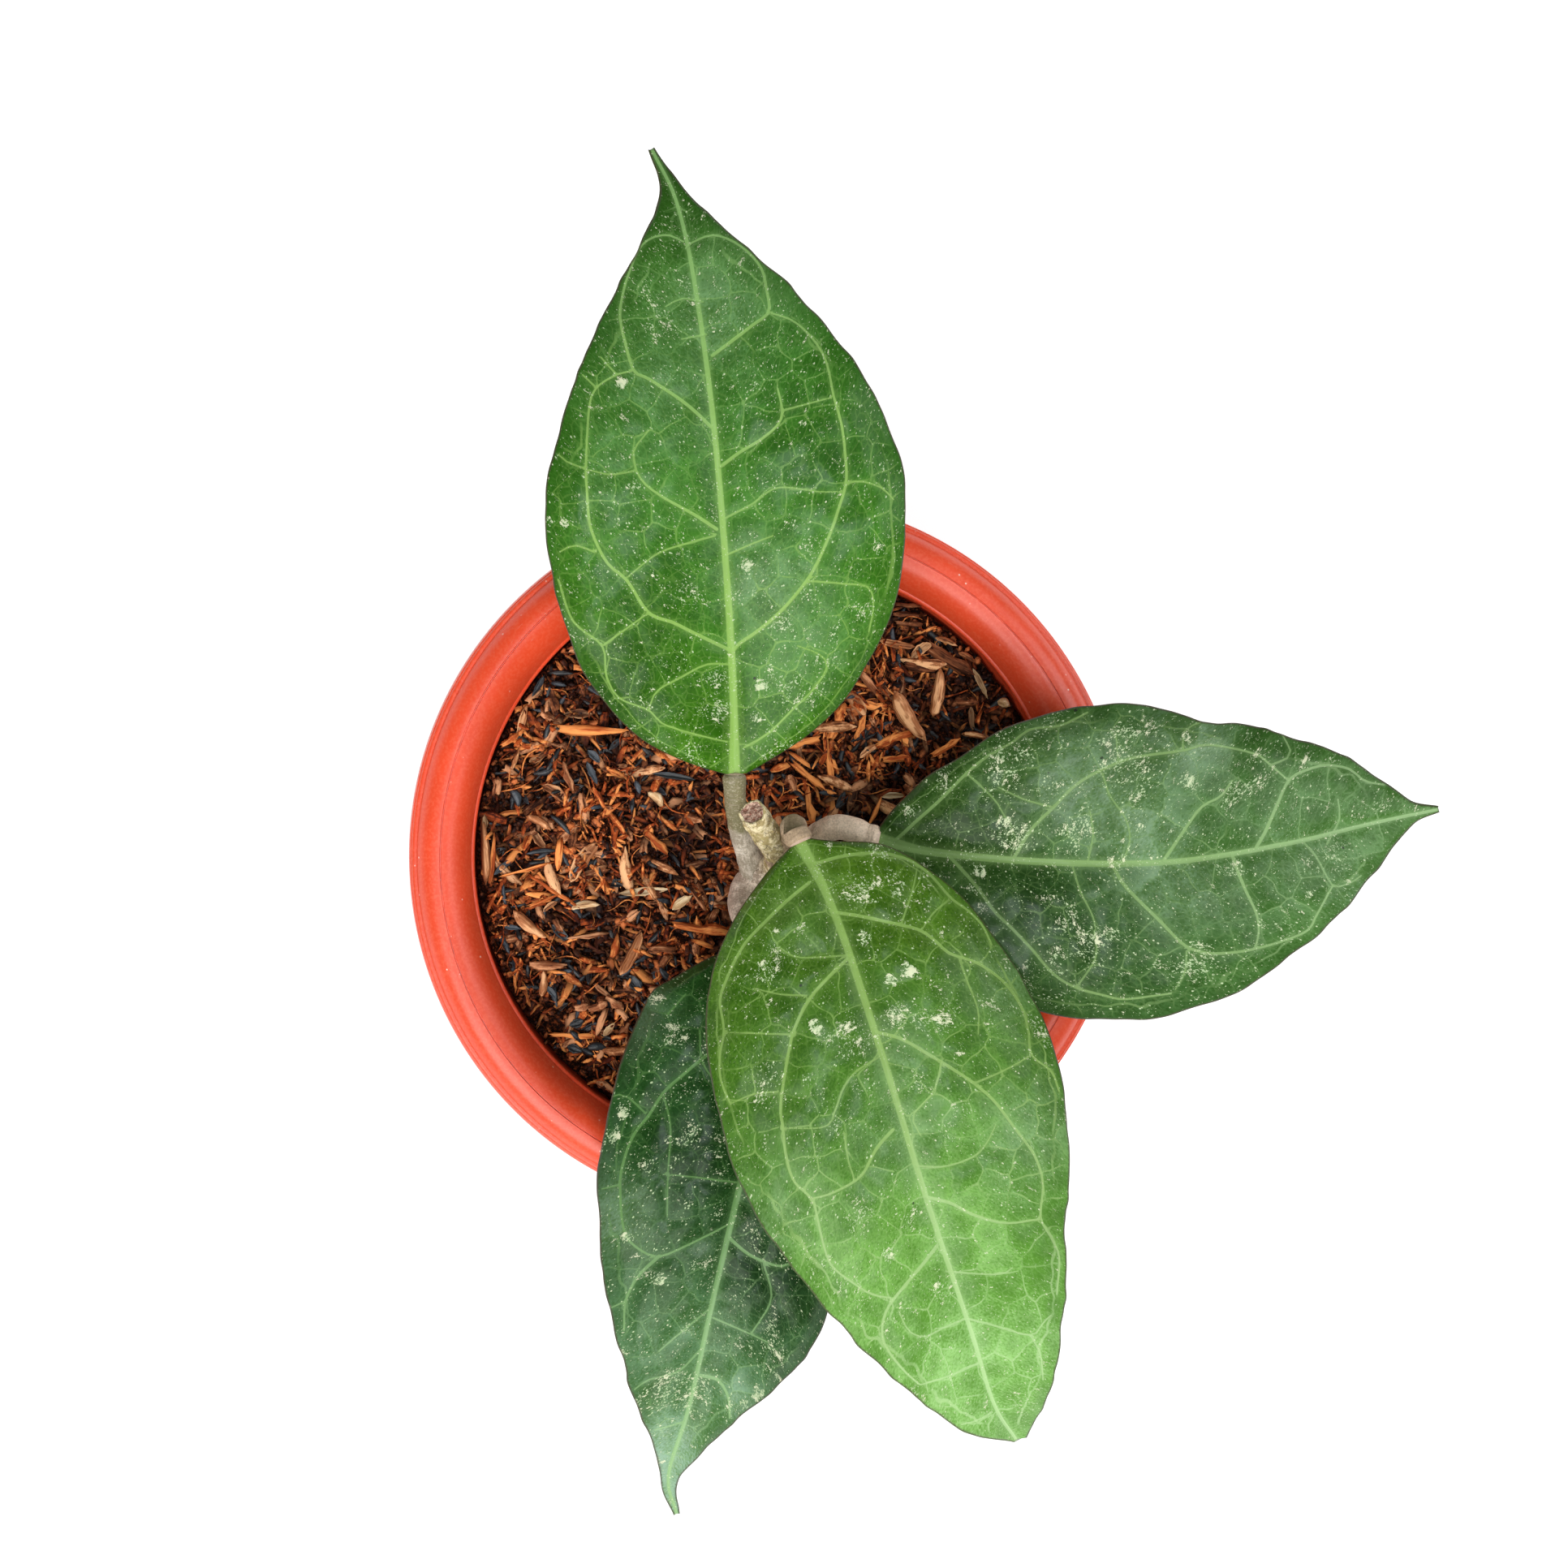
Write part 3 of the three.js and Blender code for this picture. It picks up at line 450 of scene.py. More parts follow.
def tube_rings(route, radius_at, rings, sides, relief=None, turn=0.0):
    """Rings of points round a route, and the place and angle of each point."""
    shares = np.linspace(0, 1, rings)
    centres = route.at(shares)
    headings = route.heading(shares)
    normal = unit(np.cross(headings[0], (0.3, 1, 0.2)))
    angles = np.linspace(0, 2 * math.pi, sides, endpoint=False) + turn
    points = []
    for share, centre, heading in zip(shares, centres, headings):
        normal = unit(normal - heading * np.dot(normal, heading))
        side = np.cross(heading, normal)
        spokes = np.cos(angles)[:, None] * normal + np.sin(angles)[:, None] * side
        radius = radius_at(share, centre) * np.ones(sides)
        if relief is not None:
            radius = radius + relief(share, angles, centre + spokes * radius[:, None])
        points.append(centre + spokes * radius[:, None])
    return np.array(points), shares, angles


def capped_tube(points):
    """Points and faces of a closed tube from its rings, with a fan over each end."""
    rings, sides = points.shape[:2]
    flat = points.reshape(-1, 3)
    ends = np.array([points[0].mean(axis=0), points[-1].mean(axis=0)])
    faces = [tuple(quad) for quad in quad_grid(rings, sides, closed=True)]
    last = (rings - 1) * sides
    for side in range(sides):
        turned = (side + 1) % sides
        faces.append((len(flat), turned, side))
        faces.append((len(flat) + 1, last + side, last + turned))
    return np.vstack([flat, ends]), faces


# ---- Shader expressions ----

class Shade:
    """A shader socket that takes part in Python expressions."""

    def __init__(self, finish, socket):
        self.finish = finish
        self.socket = socket

    def _math(self, operation, first, second):
        return self.finish.node("Math", {"operation": operation}, {0: first, 1: second})

    def __add__(self, other):
        return self._math("ADD", self, other)

    def __sub__(self, other):
        return self._math("SUBTRACT", self, other)

    def __rsub__(self, other):
        return self._math("SUBTRACT", other, self)

    def __mul__(self, other):
        return self._math("MULTIPLY", self, other)

    def __truediv__(self, other):
        return self._math("DIVIDE", self, other)

    def __pow__(self, other):
        return self._math("POWER", self, other)

    def __abs__(self):
        return self._math("ABSOLUTE", self, 0)

    __radd__ = __add__
    __rmul__ = __mul__

    def larger(self, other):
        return self._math("MAXIMUM", self, other)

    def step(self, low, high):
        """0 below low, 1 above high and smooth between; low may be above high."""
        limits = {"Value": self, 1: low, 2: high, 3: 0.0, 4: 1.0}
        return self.finish.node("MapRange", {"interpolation_type": "SMOOTHSTEP"}, limits)


class Finish:
    """The node tree of one material, filled by expressions."""

    def __init__(self, name):
        self.material = bpy.data.materials.new(name)
        self.material.use_nodes = True
        self.tree = self.material.node_tree
        self.shader = self.tree.nodes["Principled BSDF"]

    def node(self, kind, settings=None, inputs=None, output=0):
        """A new node of that kind: its settings are set first, then its sockets' values or links."""
        node = self.tree.nodes.new("ShaderNode" + kind)
        for name, value in (settings or {}).items():
            if name == "stops":
                self._fill_ramp(node.color_ramp, value)
            else:
                setattr(node, name, value)
        for key, value in (inputs or {}).items():
            self.feed(node.inputs[key], value)
        return Shade(self, node.outputs[output])

    def feed(self, socket, value):
        if isinstance(value, Shade):
            self.tree.links.new(value.socket, socket)
        elif socket.type == "RGBA" and len(value) == 3:
            socket.default_value = (*value, 1)
        else:
            socket.default_value = value

    def _fill_ramp(self, ramp, stops):
        while len(ramp.elements) < len(stops):
            ramp.elements.new(1)
        for element, (place, colour) in zip(ramp.elements, stops):
            element.position = place
            element.color = (*colour, 1)

    def ramp(self, share, stops):
        return self.node("ValToRGB", {"stops": stops}, {0: share})

    def blend(self, share, first, second, mode="MIX"):
        """The colour first going over to second as share goes from 0 to 1."""
        settings = {"data_type": "RGBA", "blend_type": mode}
        return self.node("Mix", settings, {0: share, 6: first, 7: second}, output=2)

    def multiplied(self, colour, factor):
        return self.blend(1.0, colour, factor, "MULTIPLY")

    def place(self):
        """The place on the piece, in millimetres."""
        return self.scaled(self.node("TexCoord", output="Object"), (1 / MM, 1 / MM, 1 / MM))

    def kept(self, name):
        """The three numbers kept on the mesh by that name, as a vector."""
        return self.node("Attribute", {"attribute_name": name}, output="Vector")

    def parts(self, vector):
        node = self.node("SeparateXYZ", None, {0: vector}).socket.node
        return [Shade(self, socket) for socket in node.outputs]

    def joined(self, x, y, z=0.0):
        return self.node("CombineXYZ", None, {0: x, 1: y, 2: z})

    def scaled(self, vector, scale):
        return self.node("VectorMath", {"operation": "MULTIPLY"}, {0: vector, 1: scale})

    def shifted(self, vector, shift):
        return self.node("VectorMath", {"operation": "ADD"}, {0: vector, 1: shift})

    def noise(self, vector, size, detail=2.0, roughness=0.5):
        inputs = {"Vector": vector, "Scale": 1 / size, "Detail": detail, "Roughness": roughness}
        return self.node("TexNoise", None, inputs)

    def noise_vector(self, vector, size, amount):
        """A vector that wanders by about amount, to bend a pattern."""
        inputs = {"Vector": vector, "Scale": 1 / size, "Detail": 1.0}
        wander = self.node("TexNoise", None, inputs, output="Color")
        centred = self.shifted(wander, (-0.5, -0.5, -0.5))
        return self.node("VectorMath", {"operation": "SCALE"}, {0: centred, 3: 2 * amount})

    def cells(self, vector, size, feature="F1"):
        return self.node("TexVoronoi", {"feature": feature}, {"Vector": vector, "Scale": 1 / size})

    def bump(self, height, distance, strength):
        return self.node("Bump", None, {"Height": height, "Distance": distance, "Strength": strength})

    def finish(self, **sockets):
        """Sets the shader's own sockets; underscores in a name stand for spaces."""
        for name, value in sockets.items():
            self.feed(self.shader.inputs[name.replace("_", " ")], value)
        return self.material


# ---- Finishes ----

# The way to the nearest line passes through nothing where two lines are equally near. The plain distance
# less this much, in half widths of a vein or in pixels, keeps a false line from showing there.
VEIN_SLACK = 1.6
NET_SLACK = 3.0


def toned(colour, share):
    """A colour with its three numbers times share."""
    return tuple(share * value for value in colour)


def line_distance(finish, name, slack):
    """How far the nearest line lies, from the way and the distance to it kept by that name."""
    x, y, far = finish.parts(finish.kept(name))
    return ((x**2 + y**2)**0.5).larger(far - slack)


def pot_finish(colour):
    """Satin moulded plastic: a fine grain, scuffs and burrs along the rim, and dust in specks.

    round_rim holds millimetres round the rim and along its section, and how near the parting line is.
    """
    finish = Finish("pot_plastic")
    place = finish.place()
    cloud = finish.noise(place, 22, 3.0)
    grain = finish.noise(place, 0.45, 2.0)
    around, section, parting = finish.parts(finish.kept("round_rim"))
    scratch = finish.noise(finish.joined(around * 0.08, section, 0.0), 0.35, 3.0).step(0.68, 0.74)
    scratch = scratch * finish.noise(place, 9).step(0.5, 0.62)
    speck = finish.cells(place, 2.1).step(0.10, 0.04) * finish.noise(place, 5, 2.0).step(0.48, 0.6)
    burr = finish.noise(finish.joined(around * 0.5, section, 0.0), 0.7, 3.0, 0.7).step(0.66, 0.70)
    burr = burr * finish.noise(place, 7, 1.0).step(0.48, 0.56) * parting.step(0.1, 0.5)
    line = parting.step(0.82, 1.0) * finish.noise(place, 2.5, 2.0).step(0.34, 0.5)
    deep = toned(colour, 0.84)
    base = finish.blend(cloud.step(0.3, 0.7), deep, colour)
    base = finish.blend(grain.step(0.42, 0.66) * 0.14, base, (0.95, 0.26, 0.14))
    base = finish.blend(scratch * 0.25, base, (0.9, 0.40, 0.30))
    base = finish.blend(speck * 0.7, base, (0.92, 0.72, 0.62))
    base = finish.blend(burr * 0.6, base, (0.92, 0.55, 0.42))
    base = finish.blend(line * 0.6, base, (0.20, 0.012, 0.006))
    height = grain * 0.25 + finish.noise(place, 3.5, 2.0) * 0.6 + scratch * 0.3 + burr * 0.6 - line * 0.4
    normal = finish.bump(height, 0.00012, 0.55)
    roughness = cloud * 0.1 + grain * 0.08 + scratch * 0.2 + 0.27
    return finish.finish(Base_Color=base, Roughness=roughness, Normal=normal, Specular_IOR_Level=0.5)


def mix_finish():
    """The body of the mix under the scraps, fine and uneven; its near black is partly painted shade."""
    finish = Finish("mix_body")
    place = finish.place()
    coarse = finish.noise(place, 2.6, 4.0, 0.65)
    fine = finish.noise(place, 0.6, 4.0, 0.7)
    base = finish.ramp(fine, ((0.36, (0.003, 0.001, 0.001)), (0.52, (0.022, 0.005, 0.002)),
                              (0.64, (0.200, 0.045, 0.012))))
    base = finish.blend(coarse.step(0.4, 0.65) * 0.6, base, (0.004, 0.002, 0.002))
    normal = finish.bump(fine + coarse, 0.0012, 0.9)
    return finish.finish(Base_Color=base, Roughness=0.95, Normal=normal, Specular_IOR_Level=0.1)


def scrap_finish(name, look):
    """One kind of loose scrap: streaked along its length, each scrap with a tint of its own.

    Scraps that lie deep in the bed are painted darker, down to near black, as painted shade.
    """
    dark, middle, light, streaked, roughness, gloss = look
    finish = Finish(name)
    grain = finish.parts(finish.kept("grain"))
    tint = finish.parts(finish.kept("tint"))
    lengthwise = finish.joined(grain[0] * 0.10 + tint[1] * 90.0, grain[1], grain[2])
    streak = finish.noise(lengthwise, 0.42, 3.0, 0.6)
    crosswise = finish.joined(grain[0] + tint[1] * 60.0, grain[1], grain[2])
    mottle = finish.noise(crosswise, 1.0, 4.0, 0.7)
    shade = tint[0] * 0.95 + (streak - 0.5) * (3.2 * streaked) + (mottle - 0.5) * 2.2 + 0.14
    base = finish.blend(shade.step(0.0, 0.5), dark, middle)
    base = finish.blend(shade.step(0.5, 1.05), base, light)
    base = finish.blend(streak.step(0.42, 0.32) * streaked, base, toned(dark, 0.4))
    # Painted shade: the lower a scrap lies in the bed, the nearer to black it is painted.
    height = finish.parts(finish.place())[2]
    deep = height.step(MIX_LEVEL + 1.0, MIX_LEVEL - 0.4)
    base = finish.blend(deep * 0.92, base, (0.005, 0.001, 0.001))
    normal = finish.bump(streak * (0.4 + streaked) + mottle * 0.6, 0.00022, 0.9)
    rough = mottle * 0.2 + roughness
    return finish.finish(Base_Color=base, Roughness=rough, Normal=normal, Specular_IOR_Level=gloss)


def bark_finish():
    """The vine's skin: smooth grey-taupe low down, pale flaky bark with fine cracks on the stub."""
    finish = Finish("vine_bark")
    place = finish.place()
    along = finish.parts(finish.kept("along_stem"))
    stub = along[1].step(46.5, 52.5)
    skin = finish.joined(along[1] * 0.5, along[2], 0.0)
    crack = finish.cells(finish.shifted(skin, finish.noise_vector(place, 0.8, 0.25)), 0.55,
                         "DISTANCE_TO_EDGE").step(0.07, 0.015)
    crack = crack * finish.noise(place, 1.6, 2.0).step(0.42, 0.62)
    patch = finish.noise(place, 1.3, 3.0, 0.6)
    mottle = finish.noise(place, 0.45, 3.0, 0.6)
    young = finish.blend(patch.step(0.42, 0.58), (0.35, 0.270, 0.20), (0.72, 0.600, 0.48))
    pale = finish.blend(patch.step(0.42, 0.60), (0.42, 0.32, 0.14), (0.80, 0.68, 0.43))
    pale = finish.blend(mottle.step(0.52, 0.64) * 0.5, pale, (0.36, 0.32, 0.10))
    base = finish.blend(stub, young, pale)
    base = finish.blend(crack * (0.25 + 0.45 * stub), base, (0.13, 0.075, 0.04))
    rings = finish.noise(finish.joined(along[1] * 3.0, along[2] * 0.4, 0.0), 1.2, 2.0)
    height = patch * 0.6 + mottle * 0.35 - crack * 0.9 + rings * 0.4
    normal = finish.bump(height, 0.00025, 0.8)
    return finish.finish(Base_Color=base, Roughness=0.82 - stub * 0.02, Normal=normal)


def cut_finish():
    """The stub's cut face: pinkish brown pith in patches, with darker fibres."""
    finish = Finish("vine_cut")
    place = finish.place()
    fibre = finish.cells(place, 0.32)
    patch = finish.noise(place, 0.5, 3.0, 0.7)
    base = finish.blend(patch.step(0.4, 0.62), (0.30, 0.13, 0.085), (0.72, 0.50, 0.38))
    base = finish.blend(fibre.step(0.5, 0.75) * 0.5, base, (0.16, 0.07, 0.04))
    normal = finish.bump(patch - fibre * 0.5, 0.0003, 0.9)
    return finish.finish(Base_Color=base, Roughness=0.9, Normal=normal)


def petiole_finish(name, dark, light, end_colour):
    """Matt petiole skin, finely grained along its length, going over to another colour at the blade."""
    finish = Finish(name)
    place = finish.place()
    along = finish.parts(finish.kept("along_stem"))
    streak = finish.noise(finish.joined(along[1] * 0.25, along[2], 0.0), 0.35, 3.0, 0.6)
    patch = finish.noise(place, 2.2, 3.0, 0.6)
    grit = finish.noise(place, 0.30, 3.0, 0.7)
    fleck = finish.cells(place, 0.55).step(0.16, 0.08) * finish.noise(place, 1.3).step(0.5, 0.6)
    base = finish.blend((patch * 0.6 + streak * 0.4).step(0.40, 0.60), dark, light)
    base = finish.blend((along[0] + patch * 0.4 - 0.2).step(0.48, 0.62), base, end_colour)
    base = finish.blend(grit.step(0.52, 0.66) * 0.3, base, toned(light, 1.4))
    base = finish.blend(grit.step(0.48, 0.36) * 0.4, base, toned(dark, 0.5))
    base = finish.blend(fleck * 0.5, base, toned(dark, 0.35))
    wrinkle = finish.noise(finish.joined(along[1] * 3.0, along[2] * 0.4, 0.0), 1.2, 3.0, 0.6)
    base = finish.blend(wrinkle.step(0.46, 0.34) * 0.6, base, dark)
    base = finish.blend(along[0].step(0.982, 0.990) * 0.5, base, (0.60, 0.42, 0.34))
    normal = finish.bump(streak * 0.5 + patch * 0.5 + wrinkle * 0.8, 0.00018, 0.8)
    return finish.finish(Base_Color=base, Roughness=patch * 0.15 + 0.5, Normal=normal)


def leaf_finish(name, leaf, seed):
    """A waxy blade: green cells between pale veins, silvery flecks, and a dark line on its margin.

    blade_place holds millimetres along and across the blade and in from its margin. vein_place and
    net_place hold the way and the distance to the nearest vein, in half widths of that vein, and to the
    nearest line of the net, in pixels. fleck_place holds how thickly the flecks lie, the share of the
    blade's length from its base, and how strong the nearest vein is. tone_place holds how much painted
    sheen lies there, how much painted shade, and a tint for each cell of the net.
    """
    finish = Finish(name)
    vein_base, vein_tip = leaf["vein_greens"]
    along, across, inward = finish.parts(finish.kept("blade_place"))
    cluster, share, strength = finish.parts(finish.kept("fleck_place"))
    painted_sheen, painted_shade, cell_tint = finish.parts(finish.kept("tone_place"))
    flat = finish.joined(along, across, seed)

    vein_distance = line_distance(finish, "vein_place", VEIN_SLACK)
    vein = vein_distance.step(1.3, 0.65) * strength
    vein_glow = vein_distance.step(5.5, 0.8) * strength
    net_distance = line_distance(finish, "net_place", NET_SLACK)
    swell = finish.noise(flat, 13, 3.0)
    net_line = net_distance.step(1.3, 0.45) * (0.35 + finish.noise(flat, 6, 2.0).step(0.42, 0.58) * 0.65)
    midrib_half = 0.66 - 0.42 * share + share.step(0.1, 0.0) * 0.22
    hem = abs(inward - finish.noise(flat, 7, 2.0) * 4.5).step(0.26, 0.10) * inward.step(0.5, 1.2)
    hem = hem * finish.noise(flat, 11, 1.0).step(0.40, 0.55)
    from_midrib = abs(across) / midrib_half
    midrib = from_midrib.step(1.2, 0.7)
    midrib_glow = from_midrib.step(3.0, 1.0)
    bent = finish.shifted(flat, finish.noise_vector(flat, 2.2, 0.35))
    small_net = finish.cells(bent, 1.5, "DISTANCE_TO_EDGE")
    small_line = small_net.step(0.09, 0.02)
    inside = inward.step(0.25, 1.8)

    mottle = finish.noise(flat, 2.6, 3.0, 0.6)
    grain = finish.noise(flat, 0.36, 2.0)
    depth = swell * 0.5 + mottle * 0.4 + grain * 0.8 + cell_tint * 0.2 - 0.45
    drift = share + swell * 0.4 - 0.2
    fresh = finish.ramp(drift, leaf["greens"])
    # Painted light: where the tones lie, the green is painted deeper as shade or whitish as sheen.
    fresh = finish.blend(painted_shade, fresh, finish.multiplied(fresh, (0.18, 0.30, 0.16)))
    fresh = finish.blend(painted_sheen * (0.7 + cell_tint * 0.6), fresh, (0.36, 0.50, 0.36))
    deep = finish.multiplied(fresh, (0.45, 0.58, 0.30))
    green = finish.blend(depth.step(0.28, 0.74), deep, fresh)
    shadow = (inward.step(4.5, 0.4) * leaf["dark_margin"]).larger(net_distance.step(3.0, 14.0) * 0.25)
    green = finish.blend(shadow, green, finish.multiplied(deep, (0.45, 0.50, 0.40)))
    vein_green = finish.blend(drift.step(0.2, 0.95), vein_base, vein_tip)
    green = finish.blend(small_line * inside * 0.13, green, vein_green)
    green = finish.blend(net_line.larger(hem) * inside * leaf["net"], green, vein_green)
    green = finish.blend((vein_glow * 0.12).larger(midrib_glow * 0.22), green, vein_green)
    green = finish.blend(vein * 0.85, green, vein_green)
    green = finish.blend(midrib * 0.95, green, vein_green)

    # Flecks: torn flakes of all sizes that gather in ragged clouds, and fine dust between them.
    flake = finish.noise(finish.joined(along * 1.3, across * 0.8, seed), 1.7, 8.0, 0.8)
    chip = finish.noise(flat, 0.45, 5.0, 0.7)
    ragged = finish.noise(flat, 4.5, 5.0, 0.7)
    clouds = finish.noise(flat, 8.5, 3.0, 0.6).step(0.52, 0.64) * leaf["dusting"]
    gathered = cluster.larger(clouds)
    thick = (gathered * 1.3 + ragged * 3.0 - 1.75).step(0.0, 0.8)
    flakes = (flake + thick * 0.07 + cluster.step(0.4, 1.0) * 0.085).step(0.634, 0.646)
    chips = (chip + thick * 0.07).step(0.664, 0.676)
    grit = finish.noise(flat, 0.30, 1.5, 0.6)
    dust = (grit + thick * 0.09 + ragged * 0.25).step(0.815, 0.835)
    dot_gate = finish.noise(flat, 1.1, 1.0) + thick * 0.07
    dots = finish.cells(flat, 0.62).step(0.26, 0.20) * dot_gate.step(0.61, 0.63)
    silver = flakes.larger(chips).larger(dust * 0.85).larger(dots)
    silver_colour = finish.blend(flake.step(0.48, 0.60), (0.44, 0.56, 0.32), (0.66, 0.68, 0.46))
    green = finish.blend(silver * 0.9, green, silver_colour)
    pit = finish.cells(flat, 6.5).step(0.045, 0.03) * finish.noise(flat, 6).step(0.5, 0.56)
    green = finish.blend(pit * 0.85, green, (0.012, 0.014, 0.010))
    edge = (inward + grain * 0.2).step(0.42, 0.2)
    base = finish.blend(edge * 0.75, green, (0.060, 0.045, 0.028))

    height = small_net.step(0.0, 0.4) * 0.12 - vein * 0.2 + midrib * 0.15 + grain * 0.06 + silver * 0.05
    normal = finish.bump(height + mottle * 0.2, 0.0004, 0.6)
    roughness = swell * 0.08 + grain * 0.06 + silver * 0.2 + 0.42
    return finish.finish(Base_Color=base, Roughness=roughness, Normal=normal, Specular_IOR_Level=0.06,
                         Coat_Weight=0.2 - silver * 0.2, Coat_Roughness=0.25)


def underside_finish(name, leaf):
    """The blade's matt, paler underside with a raised midrib."""
    finish = Finish(name)
    along, across, inward = finish.parts(finish.kept("blade_place"))
    net_distance = line_distance(finish, "net_place", NET_SLACK)
    vein_distance = line_distance(finish, "vein_place", VEIN_SLACK)
    flat = finish.joined(along, across, 7.0)
    cloud = finish.noise(flat, 6, 3.0)
    fresh = leaf["greens"][1][1]
    light = tuple(0.45 * value + 0.45 * extra for value, extra in zip(fresh, (0.24, 0.36, 0.17)))
    dull = toned(light, 0.7)
    pale = (0.40, 0.50, 0.28)
    base = finish.blend(cloud.step(0.3, 0.7), dull, light)
    base = finish.blend(net_distance.step(2.2, 0.6) * 0.35, base, pale)
    base = finish.blend(vein_distance.step(1.6, 0.6) * 0.5, base, pale)
    base = finish.blend(abs(across).step(1.8, 0.7) * 0.6, base, pale)
    base = finish.blend(inward.step(0.55, 0.25) * 0.7, base, (0.060, 0.045, 0.028))
    height = net_distance.step(3.0, 0.5) + vein_distance.step(2.0, 0.5) + cloud * 0.2
    normal = finish.bump(height, 0.0003, 0.5)
    return finish.finish(Base_Color=base, Roughness=0.55, Normal=normal)


def floor_finish(colour):
    """A pale floor that glows a little, so that it stays plain white under the plant."""
    finish = Finish("stage_floor")
    return finish.finish(Base_Color=colour, Roughness=0.9, Specular_IOR_Level=0.1,
                         Emission_Color=(1, 1, 1), Emission_Strength=0.75)


# ---- Pot ----

def wall_radius(height):
    return FOOT_RADIUS + WALL_FLARE * height


def pot_profile():
    """The pot's section, from under its floor round the outside and back to the top of its floor."""
    skirt = POT_HEIGHT - RIM_SKIRT
    lip = POT_HEIGHT - LIP_BELOW_CROWN
    under = POT_HEIGHT - RIM_WALL
    inner = RIM_RADIUS - RIM_WALL
    points = [(FOOT_RADIUS * 0.5, 0), (FOOT_RADIUS - 1.2, 0)]

    def bow(control, end, steps):
        points.extend(bend(points[-1], control, end, steps))

    bow((FOOT_RADIUS, 0), (FOOT_RADIUS + 0.13, 1.2), 5)
    points += [(wall_radius(height), height) for height in np.linspace(2, lip - 2, 24)]
    bow((wall_radius(lip), under), (CROWN_RADIUS, under), 8)
    bow((inner, under), (inner, skirt + 5), 8)
    points += [(inner, skirt + 2.5), (inner, skirt + 0.3)]
    bow((inner, skirt), (inner + 0.3, skirt), 3)
    points += [(RIM_RADIUS - 0.5, skirt)]
    bow((RIM_RADIUS, skirt), (RIM_RADIUS, skirt + 0.6), 4)
    points += [(RIM_RADIUS, skirt + 3), (RIM_RADIUS, POT_HEIGHT - 5)]
    # The bead near the rim's outer edge, with a fine groove on either side.
    bow((RIM_RADIUS, POT_HEIGHT - 3.9), (RIM_RADIUS - 0.18, POT_HEIGHT - 3.5), 4)
    points += [(RIM_RADIUS - 0.33, POT_HEIGHT - 3.45)]
    bow((RIM_RADIUS - 0.45, POT_HEIGHT - 2.72), (RIM_RADIUS - 1.05, POT_HEIGHT - 2.75), 6)
    points += [(RIM_RADIUS - 1.2, POT_HEIGHT - 2.72)]
    # The crown, and the fine step along which the two halves of the mould part.
    bow((RIM_RADIUS - 2.3, POT_HEIGHT - 0.1), (CROWN_RADIUS + 0.16, POT_HEIGHT), 18)
    points += [(CROWN_RADIUS + 0.05, POT_HEIGHT - 0.14), (CROWN_RADIUS - 0.05, POT_HEIGHT - 0.14)]
    points += [(CROWN_RADIUS - 0.14, POT_HEIGHT - 0.03)]
    bow((LIP_RADIUS + 2.6, POT_HEIGHT - 0.3), (LIP_RADIUS + 1.05, lip + 1.3), 14)
    bow((LIP_RADIUS + 0.6, lip + 0.5), (LIP_RADIUS + 0.5, lip), 4)
    bow((LIP_RADIUS + 0.05, lip - 0.1), (LIP_RADIUS, lip - 0.5), 4)
    points += [(LIP_RADIUS, lip - 1.3)]
    bow((LIP_RADIUS, lip - 1.7), (wall_radius(lip - 2) - WALL_THICKNESS, lip - 2), 3)
    points += [(wall_radius(height) - WALL_THICKNESS, height) for height in np.linspace(lip - 4, 6, 16)]
    corner = wall_radius(FLOOR_THICKNESS) - WALL_THICKNESS
    bow((corner, FLOOR_THICKNESS), (corner - 3, FLOOR_THICKNESS), 4)
    points += [(corner * 0.5, FLOOR_THICKNESS)]
    return points


def lathe(profile, sides):
    """Points and faces of a profile turned round the axis, with a flat fan over each end."""
    ring = np.linspace(0, 2 * math.pi, sides, endpoint=False)
    radius, height = np.array(profile, float).T[..., None]
    x, y = radius * np.cos(ring), radius * np.sin(ring)
    return capped_tube(np.stack([x, y, height * np.ones(sides)], -1))


def plain_box(name, low, high):
    corners = [(x, y, z) for x in (low[0], high[0]) for y in (low[1], high[1]) for z in (low[2], high[2])]
    faces = [(0, 1, 3, 2), (4, 6, 7, 5), (0, 4, 5, 1), (2, 3, 7, 6), (0, 2, 6, 4), (1, 5, 7, 3)]
    return new_piece(name, corners, faces, [])


def cut_out(piece, cutters):
    """Cuts the cutters out of the piece's mesh and deletes them."""
    for cutter in cutters:
        modifier = piece.modifiers.new("cut", "BOOLEAN")
        modifier.operation = "DIFFERENCE"
        modifier.object = cutter
        modifier.solver = "EXACT"
    bake_modifiers(piece)
    for cutter in cutters:
        bpy.data.objects.remove(cutter)


def bake_modifiers(piece):
    """Turns what the piece's modifiers make into its plain mesh, and removes them."""
    graph = bpy.context.evaluated_depsgraph_get()
    made = bpy.data.meshes.new_from_object(
        piece.evaluated_get(graph), preserve_all_data_layers=True, depsgraph=graph)
    piece.modifiers.clear()
    old = piece.data
    piece.data = made
    bpy.data.meshes.remove(old)


